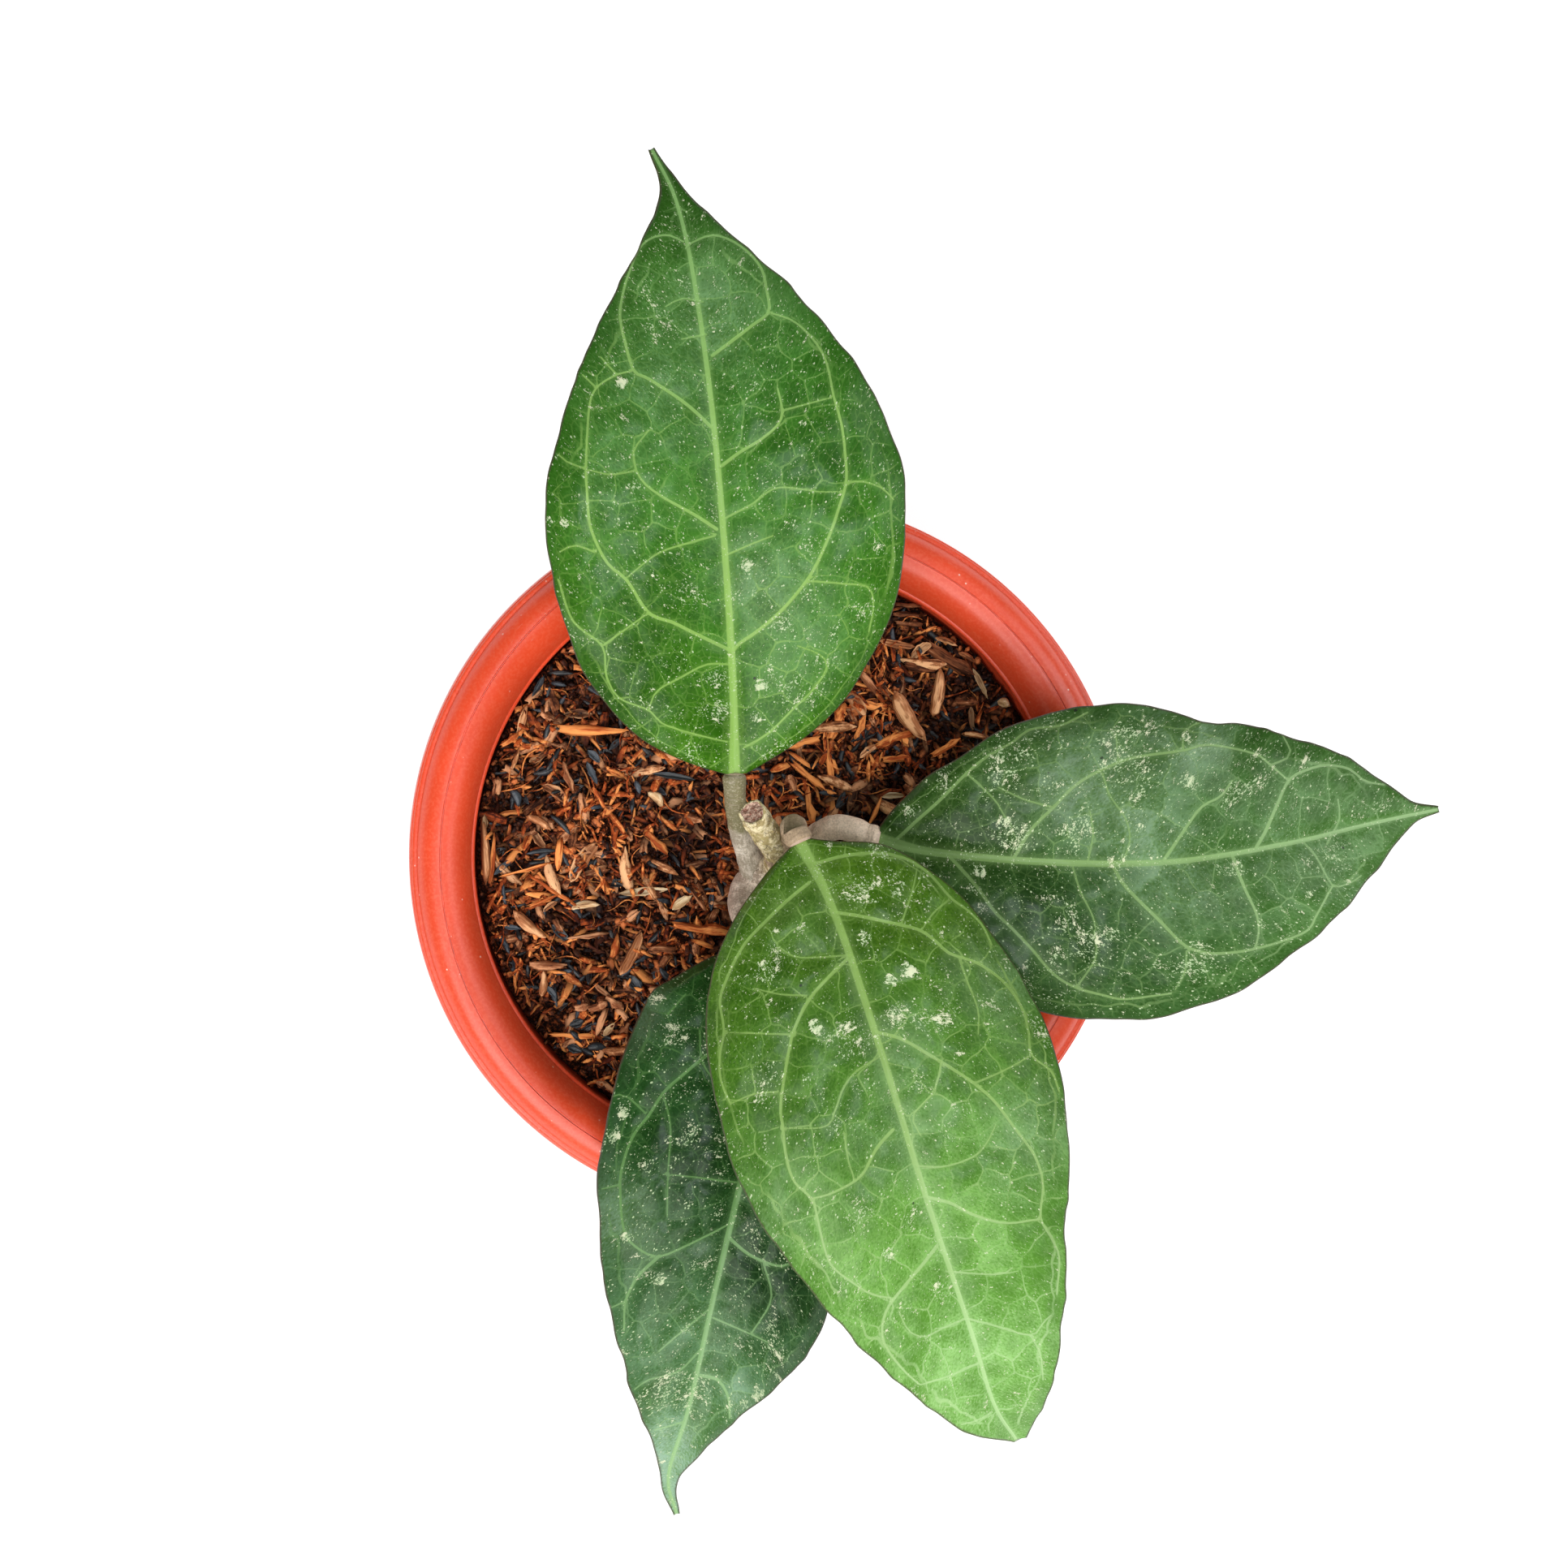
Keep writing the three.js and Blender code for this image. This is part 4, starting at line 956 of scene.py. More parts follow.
def make_pot(colour):
    points, faces = lathe(pot_profile(), POT_SIDES)
    pot = new_piece("pot_shell", points, faces, [pot_finish(colour)])
    cutters = []
    for index in range(DRAIN_HOLES):
        angle = 2 * math.pi * index / DRAIN_HOLES
        hole = new_piece("hole", *lathe([(DRAIN_HOLE_RADIUS, -2), (DRAIN_HOLE_RADIUS, 6)], 32), [])
        hole.data.transform(Matrix.Translation((DRAIN_CIRCLE_RADIUS * MM, 0, 0)))
        half = DRAIN_CHANNEL_WIDTH / 2
        channel = plain_box("channel", (DRAIN_CIRCLE_RADIUS, -half, -DRAIN_CHANNEL_DEPTH),
                            (FOOT_RADIUS + 2, half, DRAIN_CHANNEL_DEPTH))
        for cutter in (hole, channel):
            cutter.data.transform(Matrix.Rotation(angle, 4, "Z"))
            cutters.append(cutter)
    cut_out(pot, cutters)
    mesh = pot.data
    place = np.empty(len(mesh.vertices) * 3, np.float32)
    mesh.vertices.foreach_get("co", place)
    place = place.reshape(-1, 3) / MM
    radius = np.hypot(place[:, 0], place[:, 1])
    angle = np.arctan2(place[:, 1], place[:, 0])
    # Along the rim the angle is folded, so that the pattern meets itself without a seam.
    parting = np.maximum(0, 1 - np.abs(radius - CROWN_RADIUS) / 0.6) * (place[:, 2] > POT_HEIGHT - 1)
    round_rim = np.stack([np.abs(angle) * RIM_RADIUS, radius - place[:, 2], parting], -1)
    keep_vectors(pot, "round_rim", round_rim)
    mesh.polygons.foreach_set("use_smooth", np.ones(len(mesh.polygons), bool))
    mesh.set_sharp_from_angle(angle=math.radians(50))
    settle(pot, "pot_plastic", "pot")


# ---- Potting mix ----

def mix_height(x, y):
    slow = np.sin(0.21 * x + 1.3) * np.cos(0.17 * y - 0.6)
    quick = np.sin(0.63 * x - 0.41 * y) * np.cos(0.55 * y + 0.37 * x + 2)
    return MIX_LEVEL + MIX_RELIEF * (0.6 * slow + 0.5 * quick)


def mix_top(radius, rings, sides):
    """Rings of points over the mix's rough top, from near the axis out to a radius."""
    ring = np.linspace(0, 2 * math.pi, sides, endpoint=False)
    spread = radius * np.linspace(1 / rings, 1, rings)[:, None]
    x, y = spread * np.cos(ring), spread * np.sin(ring)
    top = np.stack([x, y, mix_height(x, y)], -1)
    flat = top.reshape(-1, 3)
    rough = 0.28 * ripple(flat, 3.1, 5) + 0.22 * ripple(flat, 1.4, 6)
    top[..., 2] += rough.reshape(rings, sides) - 0.4
    return top


def make_mix_body():
    """The body of the mix: its rough top, and sides close to the pot's wall down to its floor."""
    sides = 300
    top = mix_top(wall_radius(MIX_LEVEL - 3) - WALL_THICKNESS - MIX_GAP, 90, sides)
    ring = np.linspace(0, 2 * math.pi, sides, endpoint=False)
    rings = list(top)
    floor = FLOOR_THICKNESS + MIX_GAP
    for height, inset in ((MIX_LEVEL - 3, 0), (floor + 2, 0), (floor, 2.5)):
        radius = wall_radius(height) - WALL_THICKNESS - MIX_GAP - inset
        rings.append(np.stack([radius * np.cos(ring), radius * np.sin(ring), np.full(sides, height)], -1))
    points, faces = capped_tube(np.array(rings[::-1]))
    body = new_piece("mix_body", points, faces, [mix_finish()])
    settle(body, "potting_mix", "potting_mix")


def closed_sheet(points):
    """A grid of points closed round each row into a solid, with its ends capped."""
    rows, columns = points.shape[:2]
    faces = [tuple(quad[::-1]) for quad in quad_grid(rows, columns, closed=True)]
    faces.append(tuple(range(columns)))
    faces.append(tuple(range(rows * columns - 1, (rows - 1) * columns - 1, -1)))
    return points.reshape(-1, 3), faces


def husk_shape(stream, rows=9, columns=5):
    """A curved husk, pinched at its ends: some lie on their back, hollow and with thin upright edges."""
    share = np.linspace(0, 1, rows)
    fullness = stream.uniform(0.4, 0.75)
    half = 0.5 * np.maximum(np.sin(math.pi * share**stream.uniform(0.8, 1.2))**fullness, 0.05)
    half = half * stream.uniform(0.85, 1.1, rows)
    curve = stream.uniform(-0.3, 0.3) * np.sin(math.pi * share)
    hollow = stream.uniform() < 0.4
    arch = np.linspace(0, math.pi, columns)
    around = np.concatenate([arch, arch[::-1]])
    inner = np.repeat([False, True], columns)
    points = np.empty((rows, 2 * columns, 3))
    for row in range(rows):
        rise = 2 * half[row] * np.sin(around)
        points[row, :, 0] = share[row] - 0.5 + stream.uniform(-0.02, 0.02)
        points[row, :, 1] = half[row] * np.cos(around) * np.where(inner, 0.8, 1) + curve[row]
        points[row, :, 2] = np.where(inner, 0.55 * rise - 0.1, rise) + 0.25 * (2 * share[row] - 1)**2
    if hollow:
        points[..., 2] *= -1
        points = points[:, ::-1]
    return closed_sheet(points)


def chip_shape(stream, rows=5, columns=7):
    """A splinter of coir or bark with broken ends, uneven sides and ridges along it."""
    share = np.linspace(-0.5, 0.5, rows)
    taper = stream.uniform(0.55, 1.05, rows)
    taper[[0, -1]] *= stream.uniform(0.4, 1.0, 2)
    angles = np.linspace(0, 2 * math.pi, columns, endpoint=False) + 0.4
    ridges = stream.uniform(0.7, 1.2, columns)
    ends = stream.uniform(-0.1, 0.1, (2, columns))
    points = np.empty((rows, columns, 3))
    for row in range(rows):
        wobble = ridges * stream.uniform(0.85, 1.15, columns)
        torn = ends[0] * (row == 0) + ends[1] * (row == rows - 1)
        points[row, :, 0] = share[row] + torn
        points[row, :, 1] = np.cos(angles) * wobble * taper[row] / 2
        points[row, :, 2] = np.sin(angles) * wobble * taper[row] / 2
    points[..., 1] += stream.uniform(-0.12, 0.12, rows)[:, None]
    return closed_sheet(points)


def strand_shape(stream, rows=9, columns=3):
    """A curled strand, thinner towards its ends. Its width is a small share of its sway."""
    share = np.linspace(0, 1, rows)
    angles = np.linspace(0, 2 * math.pi, columns, endpoint=False)
    bends = stream.uniform(-1, 1, 3)
    points = np.empty((rows, columns, 3))
    for row, place in enumerate(share):
        thin = 0.055 * (1 - 0.6 * (2 * place - 1)**2)
        sway = bends[0] * math.sin(math.pi * place) + 0.5 * bends[1] * math.sin(2 * math.pi * place)
        points[row, :, 0] = (place - 0.5) * (1 - 0.2 * abs(bends[0]))
        points[row, :, 1] = np.cos(angles) * thin + 0.5 * sway
        points[row, :, 2] = np.sin(angles) * thin * 3 + bends[2] * (place - 0.5)**2
    return closed_sheet(points)


def crumb_shape(stream, rows=4, columns=5):
    """A small angular crumb."""
    latitudes = np.linspace(0.16, 0.84, rows) * math.pi
    angles = np.linspace(0, 2 * math.pi, columns, endpoint=False)
    points = np.empty((rows, columns, 3))
    for row, latitude in enumerate(latitudes):
        wobble = stream.uniform(0.6, 1.25, columns)
        points[row, :, 0] = -np.cos(latitude) / 2 * stream.uniform(0.8, 1.1)
        points[row, :, 1] = np.sin(latitude) * np.cos(angles) * wobble / 2
        points[row, :, 2] = np.sin(latitude) * np.sin(angles) * wobble / 2
    return closed_sheet(points)


def grain_shape(stream):
    return crumb_shape(stream, rows=3, columns=4)


# The looks of the scraps: dark, middle and light colour, how streaked, roughness and gloss.
COIR = ((0.060, 0.008, 0.002), (0.420, 0.075, 0.015), (1.000, 0.360, 0.100), 0.55, 0.62, 0.15)
BARK = ((0.045, 0.012, 0.005), (0.250, 0.080, 0.032), (0.720, 0.330, 0.160), 0.75, 0.70, 0.12)
HUSK = ((0.140, 0.036, 0.011), (0.420, 0.150, 0.055), (0.920, 0.490, 0.240), 0.80, 0.55, 0.2)
PALE = ((0.300, 0.140, 0.060), (0.660, 0.400, 0.200), (1.000, 0.800, 0.520), 0.70, 0.60, 0.2)
CHAR = ((0.002, 0.002, 0.002), (0.006, 0.008, 0.011), (0.042, 0.054, 0.070), 0.30, 0.34, 0.5)
DAMP = ((0.004, 0.001, 0.001), (0.095, 0.020, 0.006), (0.680, 0.190, 0.055), 0.40, 0.55, 0.2)

# Loose scraps strewn at random: shape, size in millimetres, number for each square centimetre, smallest
# and largest growth, tilt, height of the middle above the mix, look and seed.
STREWN = {
    "grains": (grain_shape, (1.0, 0.8, 0.7), 120, (0.5, 1.5), 0.9, 0.15, DAMP, 11),
    "crumbs": (crumb_shape, (1.9, 1.3, 0.9), 24, (0.5, 1.4), 0.8, 0.2, DAMP, 12),
    "splinters": (chip_shape, (2.6, 0.6, 0.45), 44, (0.5, 1.6), 0.5, 0.35, COIR, 13),
    "charred_husks": (husk_shape, (4.0, 1.1, 0.5), 10, (0.6, 1.15), 0.45, 0.35, CHAR, 14),
    "bark_bits": (chip_shape, (3.4, 1.5, 0.7), 8, (0.5, 1.4), 0.4, 0.4, BARK, 15),
    "coir_bits": (chip_shape, (3.8, 1.2, 0.5), 7, (0.5, 1.4), 0.45, 0.55, COIR, 16),
    "strands": (strand_shape, (6.0, 2.6, 0.9), 7, (0.5, 1.5), 0.35, 0.65, COIR, 17),
    "husks": (husk_shape, (7.6, 1.9, 0.8), 0.35, (0.75, 1.1), 0.3, 0.8, HUSK, 18),
}

# Scraps that show singly in the photograph: for each kind its look, shape and height, and for each scrap
# its tone from dark to light, photograph pixel of the middle, length and width in pixels, and turn in
# degrees.
LAID = {
    "pale_husks": (PALE, husk_shape, 0.7, (
        (0.4, 793, 1098, 64, 11, 5), (0.6, 720, 1117, 38, 12, 8), (0.5, 840, 1112, 30, 12, 35),
        (0.3, 807, 985, 26, 14, -45), (0.5, 1100, 981, 30, 9, 3), (0.2, 1236, 867, 17, 13, -20),
        (0.1, 750, 1268, 22, 9, 50), (0.3, 1207, 842, 42, 8, -63), (0.1, 598, 1012, 18, 7, 95),
    )),
    "tan_husks": (HUSK, husk_shape, 0.8, (
        (0.8, 643, 892, 50, 9, 76), (0.5, 596, 1048, 84, 12, 93), (0.7, 720, 1062, 62, 18, 55),
        (0.6, 652, 1138, 52, 15, -40), (0.3, 777, 1175, 60, 15, 63), (0.6, 1120, 881, 72, 21, -57),
        (0.5, 1153, 853, 62, 16, 81), (0.5, 1135, 803, 34, 13, 38), (0.4, 1105, 793, 46, 10, -10),
        (0.6, 1165, 791, 30, 8, -20), (0.5, 1052, 868, 42, 16, -45), (0.7, 1070, 926, 28, 9, 35),
        (0.5, 1197, 885, 30, 8, -85), (0.6, 1200, 907, 34, 8, -10), (0.4, 712, 880, 36, 12, 0),
        (0.5, 683, 978, 38, 14, -35), (0.5, 663, 1014, 36, 11, -30), (0.4, 664, 1034, 26, 11, -55),
        (0.7, 678, 1117, 22, 7, 35), (0.3, 1050, 985, 34, 10, 70), (0.2, 1190, 810, 24, 8, -30),
        (0.6, 668, 1212, 32, 10, 85), (0.3, 634, 935, 30, 6, 70), (0.4, 662, 933, 24, 10, 30),
    )),
    "coir_chips": (COIR, chip_shape, 0.7, (
        (0.75, 725, 898, 84, 16, -3), (0.8, 862, 1143, 70, 15, -8), (0.9, 710, 1276, 60, 10, -3),
        (0.6, 627, 912, 24, 10, 35), (0.75, 635, 1050, 40, 12, 45), (0.6, 688, 1052, 36, 13, 85),
        (0.5, 606, 1058, 56, 9, 84), (0.6, 650, 1071, 62, 6, 15), (0.6, 808, 1038, 36, 16, -45),
        (0.7, 818, 1010, 36, 8, -40), (0.5, 738, 982, 28, 7, -60), (0.5, 682, 1098, 68, 8, -33),
        (0.7, 670, 1109, 40, 4, 20), (0.6, 757, 1165, 28, 13, 75), (0.7, 865, 1162, 26, 8, -20),
        (0.8, 1030, 890, 46, 13, 65), (0.9, 990, 914, 38, 13, 15), (0.8, 1078, 870, 28, 12, -15),
        (0.7, 1100, 910, 46, 15, 22), (0.8, 1020, 932, 72, 8, -83), (0.8, 996, 956, 54, 9, -40),
        (0.8, 997, 990, 46, 11, -82), (0.7, 1060, 896, 28, 12, 70), (0.7, 1078, 998, 32, 7, 65),
        (0.6, 960, 945, 22, 13, 20), (0.6, 1104, 934, 34, 9, 5), (0.5, 763, 1277, 18, 10, 10),
        (0.7, 628, 1001, 30, 9, 10), (0.8, 985, 935, 30, 8, -35), (0.6, 1165, 920, 40, 9, 30),
    )),
    "bark_chips": (BARK, chip_shape, 0.9, (
        (0.5, 674, 1188, 42, 15, -3), (0.7, 735, 1239, 24, 15, 20), (0.6, 757, 1236, 24, 15, -35),
        (0.6, 715, 1240, 16, 14, 10), (0.7, 766, 1248, 18, 11, -40), (0.7, 740, 1258, 32, 12, 70),
        (0.7, 744, 1221, 28, 9, -40), (0.6, 725, 1153, 46, 9, 8), (0.5, 699, 957, 34, 12, -70),
        (0.3, 1118, 768, 32, 9, -4), (0.35, 1116, 757, 32, 9, -4), (0.3, 1118, 746, 30, 8, -4),
        (0.3, 1172, 814, 64, 18, -33), (0.1, 1132, 822, 36, 13, -15), (0.4, 1068, 838, 34, 14, -50),
        (0.4, 1190, 865, 26, 10, 0), (0.6, 976, 964, 20, 15, -70), (0.6, 612, 968, 22, 12, 80),
        (0.5, 815, 1169, 32, 12, 0), (0.4, 860, 1108, 30, 7, -55), (0.4, 688, 1140, 20, 9, -60),
    )),
    "char_husks": (CHAR, husk_shape, 0.6, (
        (0.6, 729, 952, 32, 9, -65), (0.5, 690, 1016, 36, 8, -45), (0.9, 620, 1068, 30, 8, 40),
        (0.5, 668, 1050, 40, 7, 5), (0.4, 760, 916, 26, 9, 40), (0.8, 785, 970, 18, 8, -70),
        (0.5, 782, 1212, 28, 14, -55), (0.9, 679, 1222, 20, 8, -50), (0.9, 631, 1143, 20, 7, -5),
        (0.8, 622, 1103, 28, 6, 97), (0.9, 877, 1108, 28, 7, 85), (0.4, 690, 1150, 32, 12, -45),
        (0.3, 710, 1260, 18, 13, 20), (0.3, 708, 1292, 20, 12, -20), (0.3, 735, 1290, 24, 12, 0),
        (0.7, 634, 983, 24, 13, -65), (0.7, 731, 932, 22, 11, -45), (0.5, 1035, 985, 24, 8, 60),
        (0.3, 830, 957, 56, 9, -8), (0.9, 850, 985, 12, 6, 20), (0.5, 663, 845, 30, 8, 60),
    )),
}
LAID_HEIGHT = 0.75
LAID_WIDTH = 12  # in pixels, of a scrap as high as its kind
LAID_SEED = 40


def strewing_tree(listed):
    """Geometry Nodes that lay shapes over a surface: turned, tipped and grown at random, or as listed.

    Listed scraps come as points that keep their turn, growth and tint.
    """
    name = "Lay listed scraps" if listed else "Strew scraps on a surface"
    tree = bpy.data.node_groups.new(name, "GeometryNodeTree")
    tree.is_modifier = True
    sockets = [("Surface", "NodeSocketGeometry"), ("Shapes", "NodeSocketCollection"),
               ("Finish", "NodeSocketMaterial"), ("Raise", "NodeSocketFloat"), ("Seed", "NodeSocketInt")]
    if not listed:
        sockets += [("Density", "NodeSocketFloat"), ("Smallest", "NodeSocketFloat"),
                    ("Largest", "NodeSocketFloat"), ("Tilt", "NodeSocketFloat")]
    for socket_name, kind in sockets:
        tree.interface.new_socket(socket_name, in_out="INPUT", socket_type=kind)
    tree.interface.new_socket("Scraps", in_out="OUTPUT", socket_type="NodeSocketGeometry")

    def add(kind, inputs=None, **settings):
        node = tree.nodes.new(kind)
        for setting, value in settings.items():
            setattr(node, setting, value)
        for key, value in (inputs or {}).items():
            if isinstance(value, bpy.types.NodeSocket):
                tree.links.new(value, node.inputs[key])
            else:
                node.inputs[key].default_value = value
        return node

    def random(kind, least, most, shift):
        """A random number or vector; shift keeps the draws apart."""
        first = {"FLOAT": 2, "FLOAT_VECTOR": 0}[kind]
        seed = add("ShaderNodeMath", {0: given["Seed"], 1: float(shift)}).outputs[0]
        node = add("FunctionNodeRandomValue", {first: least, first + 1: most, "Seed": seed}, data_type=kind)
        return node.outputs[{"FLOAT": 1, "FLOAT_VECTOR": 0}[kind]]

    given = add("NodeGroupInput").outputs
    shapes = add("GeometryNodeCollectionInfo", {"Collection": given["Shapes"], "Separate Children": True,
                                                "Reset Children": True}).outputs[0]
    pick = add("FunctionNodeFloatToInt", {0: random("FLOAT", 0.0, 100.0, 1)}).outputs[0]
    if listed:
        points = add("GeometryNodeMeshToPoints", {"Mesh": given["Surface"]}).outputs[0]
        turn, growth = (add("GeometryNodeInputNamedAttribute", {"Name": kept},
                            data_type="FLOAT_VECTOR").outputs[0] for kept in ("turn", "growth"))
    else:
        points = add("GeometryNodeDistributePointsOnFaces",
                     {"Mesh": given["Surface"], "Density": given["Density"],
                      "Seed": given["Seed"]}).outputs[0]
        back = add("ShaderNodeMath", {0: given["Tilt"], 1: -1.0}, operation="MULTIPLY").outputs[0]
        least = add("ShaderNodeCombineXYZ", {0: back, 1: back}).outputs[0]
        most = add("ShaderNodeCombineXYZ", {0: given["Tilt"], 1: given["Tilt"], 2: 2 * math.pi}).outputs[0]
        turn = random("FLOAT_VECTOR", least, most, 2)
        growth = random("FLOAT", given["Smallest"], given["Largest"], 3)
    rotation = add("FunctionNodeEulerToRotation", {0: turn}).outputs[0]
    laid = add("GeometryNodeInstanceOnPoints",
               {"Points": points, "Instance": shapes, "Pick Instance": True, "Instance Index": pick,
                "Rotation": rotation, "Scale": growth}).outputs[0]
    lift = add("ShaderNodeCombineXYZ", {2: given["Raise"]}).outputs[0]
    laid = add("GeometryNodeTranslateInstances",
               {"Instances": laid, "Translation": lift, "Local Space": False}).outputs[0]
    if not listed:
        laid = add("GeometryNodeStoreNamedAttribute",
                   {"Geometry": laid, "Name": "tint",
                    "Value": random("FLOAT_VECTOR", (0, 0, 0), (1, 1, 1), 4)},
                   data_type="FLOAT_VECTOR", domain="INSTANCE").outputs[0]
    real = add("GeometryNodeRealizeInstances", {0: laid}).outputs[0]
    dressed = add("GeometryNodeSetMaterial", {"Geometry": real, "Material": given["Finish"]}).outputs[0]
    add("NodeGroupOutput", {0: dressed})
    return tree


def lay_shapes(piece, tree, shape, size, values):
    """Puts the tree's scraps in place of the piece's mesh; values are the tree's named inputs."""
    stream = np.random.default_rng(values["Seed"])
    variants = bpy.data.collections.new(piece.name + "_shapes")
    for index in range(6):
        points, faces = shape(stream)
        points = points * size
        variant = new_piece(f"{piece.name}_{index}", points, faces, [])
        keep_vectors(variant, "grain", points)
        bpy.context.scene.collection.objects.unlink(variant)
        variants.objects.link(variant)
    modifier = piece.modifiers.new("scraps", "NODES")
    modifier.node_group = tree
    values["Shapes"] = variants
    for socket in tree.interface.items_tree:
        if socket.name in values:
            modifier[socket.identifier] = values[socket.name]
    bake_modifiers(piece)
    for variant in list(variants.objects):
        bpy.data.objects.remove(variant)
    bpy.data.collections.remove(variants)
    settle(piece, "potting_mix")


def strew(name, tree, amount):
    """One kind of scrap strewn over the top of the mix, as one piece."""
    shape, size, per_square_cm, growth, tilt, lift, look, seed = STREWN[name]
    rings, sides = 24, 72
    reach = MIX_RADIUS - 0.45 * size[0]
    points, faces = capped_tube(mix_top(reach, rings, sides)[::-1])
    piece = new_piece(name, points, faces[:(rings - 1) * sides], [])
    values = {"Finish": scrap_finish(name, look), "Density": amount * per_square_cm * 1e4, "Seed": seed,
              "Smallest": growth[0], "Largest": growth[1], "Tilt": tilt, "Raise": lift * MM}
    lay_shapes(piece, tree, shape, size, values)


def lay(name, tree):
    """The scraps of one kind that show singly, laid where the photograph shows them."""
    look, shape, height, scraps = LAID[name]
    stream = np.random.default_rng(len(name))
    points, turns, growths, tints = [], [], [], []
    for tone, x, y, length, width, turn in scraps:
        points.append(on_mix(x, y))
        turns.append((*stream.uniform(-0.08, 0.08, 2), math.radians(turn)))
        growths.append((length / MIX_PIXELS_PER_MM, width / MIX_PIXELS_PER_MM, height * width / LAID_WIDTH))
        tints.append((tone, *stream.uniform(0, 1, 2)))
    piece = new_piece(name, points, [], [])
    for kept, values in (("turn", turns), ("growth", growths), ("tint", tints)):
        keep_vectors(piece, kept, values)
    values = {"Finish": scrap_finish(name, look), "Seed": LAID_SEED + len(name), "Raise": LAID_HEIGHT * MM}
    lay_shapes(piece, tree, shape, (1, 1, 1), values)


def make_scraps(amount):
    tree = strewing_tree(False)
    for name in STREWN:
        strew(name, tree, amount)
    tree = strewing_tree(True)
    for name in LAID:
        lay(name, tree)


# ---- Vine and petioles ----

def vine_radius(share, centre):
    swellings = (swelling * math.exp(-((centre[2] - height) / spread)**2)
                 for height, swelling, spread in VINE_NODES)
    return VINE_RADIUS + sum(swellings)


def keep_along_stem(piece, route, share, angles, radius):
    """Keeps the share and the millimetres along a stem, and the millimetres round it.

    Those round it are folded, so that a pattern meets itself without a seam.
    """
    turn = np.tile(np.abs(angles - math.pi) * radius, len(share) // len(angles))
    along = np.stack([share, share * route.length, turn], -1)
    keep_vectors(piece, "along_stem", np.vstack([along, [(0, 0, 0), (1, route.length, 0)]]))


def make_vine():
    """The woody vine with its two leaf nodes, and the stub's cut face inside a rim of bark."""
    route = Route(VINE_ROUTE)

    def relief(share, angles, points):
        reach = share * route.length
        scars = 0.10 * math.exp(-(reach - 46.5)**2) - 0.12 * math.exp(-((reach - 44.2) / 0.7)**2)
        rough = 0.05 + 0.08 * smooth_step(49, 53, reach)
        return scars + rough * ripple(points, 1.9, 31) + 0.5 * rough * ripple(points, 0.7, 32)

    sides = 64
    rings, shares, angles = tube_rings(route, vine_radius, 240, sides, relief)
    centre, heading = route.at(1.0), route.heading(1.0)
    ragged = 0.30 * np.maximum(0, np.sin(angles * 2 + 1.0))**6 + 0.08 * np.sin(angles * 7)
    rings[-1] += heading * ragged[:, None]
    cut_rings = []
    for inset, sink in ((0.90, 0.03), (0.84, 0.02), (0.80, -0.25), (0.66, -0.30), (0.48, -0.24),
                        (0.30, -0.30), (0.12, -0.25)):
        ring = centre + (rings[-1] - centre) * inset
        ring = ring + heading * (sink + 0.06 * ripple(ring, 0.8, 33))[:, None]
        cut_rings.append(ring)
    points, faces = capped_tube(np.concatenate([rings, np.array(cut_rings)]))
    materials = [bark_finish(), cut_finish()]
    bark_quads = (len(rings) + 1) * sides
    faces_index = [0 if index < bark_quads else 1 for index in range(len(faces))]
    faces_index[-2 * sides::2] = [0] * sides
    vine = new_piece("vine_skin", points, faces, materials, faces_index)
    count = len(points) - 2
    share = np.concatenate([np.repeat(shares, sides), np.ones(count - len(shares) * sides)])
    keep_along_stem(vine, route, share, angles, VINE_RADIUS)
    settle(vine, "vine_bark", "vine_stem")


# The petioles' skin: its dark and its light colour, and the colour that it goes over to at the blade.
PETIOLE_LOOKS = {
    "back": ((0.30, 0.250, 0.180), (0.64, 0.560, 0.460), (0.170, 0.150, 0.065)),
    "right": ((0.42, 0.310, 0.215), (0.84, 0.680, 0.520), (0.660, 0.510, 0.370)),
    "front": ((0.22, 0.150, 0.085), (0.54, 0.390, 0.255), (0.340, 0.240, 0.145)),
    "low": ((0.40, 0.300, 0.230), (0.80, 0.660, 0.540), (0.600, 0.470, 0.370)),
}


def petiole_route(leaf):
    """The petiole's middle line, running on into the blade's base under its midrib."""
    midrib = Route(leaf["midrib"])
    base, heading = midrib.at(0.0), midrib.heading(0.0)
    end = base + heading * 0.3 - np.array([0, 0, (BLADE_THICKNESS + KEEL_DEPTH) / 2])
    return Route([*leaf["petiole"], end - heading * 2.2, end])


def make_petiole(name):
    leaf = LEAVES[name]
    route = petiole_route(leaf)
    root_radius, end_radius = leaf["petiole_radii"]

    def radius_at(share, centre):
        foot = 0.7 * math.exp(-(share / 0.16)**2)
        collar = 0.10 * math.exp(-((share - 0.95) / 0.03)**2)
        shrink = 0.45 * smooth_step(0.965, 1.0, share)
        body = end_radius + (root_radius - end_radius) * (1 - smooth_step(0, 0.5, share))
        return body + foot + collar - shrink

    def relief(share, angles, points):
        return 0.05 * ripple(points, 2.2, 41) + 0.02 * np.sin(9 * angles + 4 * share)

    sides, count = 40, 110
    rings, shares, angles = tube_rings(route, radius_at, count, sides, relief)
    points, faces = capped_tube(rings)
    piece = new_piece("petiole_" + name + "_skin", points, faces,
                      [petiole_finish("petiole_" + name, *PETIOLE_LOOKS[name])])
    keep_along_stem(piece, route, np.repeat(shares, sides), angles, end_radius)
    settle(piece, "petiole_skin", "petiole_" + name)


# ---- Blades ----

def view_axes():
    """The camera's place and its right, up and backward directions, in millimetres."""
    backward = unit(np.array(VIEW_DIRECTION, float))
    right = unit(np.cross((0, 1, 0), backward))
    up = np.cross(backward, right)
    return np.array(VIEW_AIM) + VIEW_DISTANCE * backward, right, up, backward


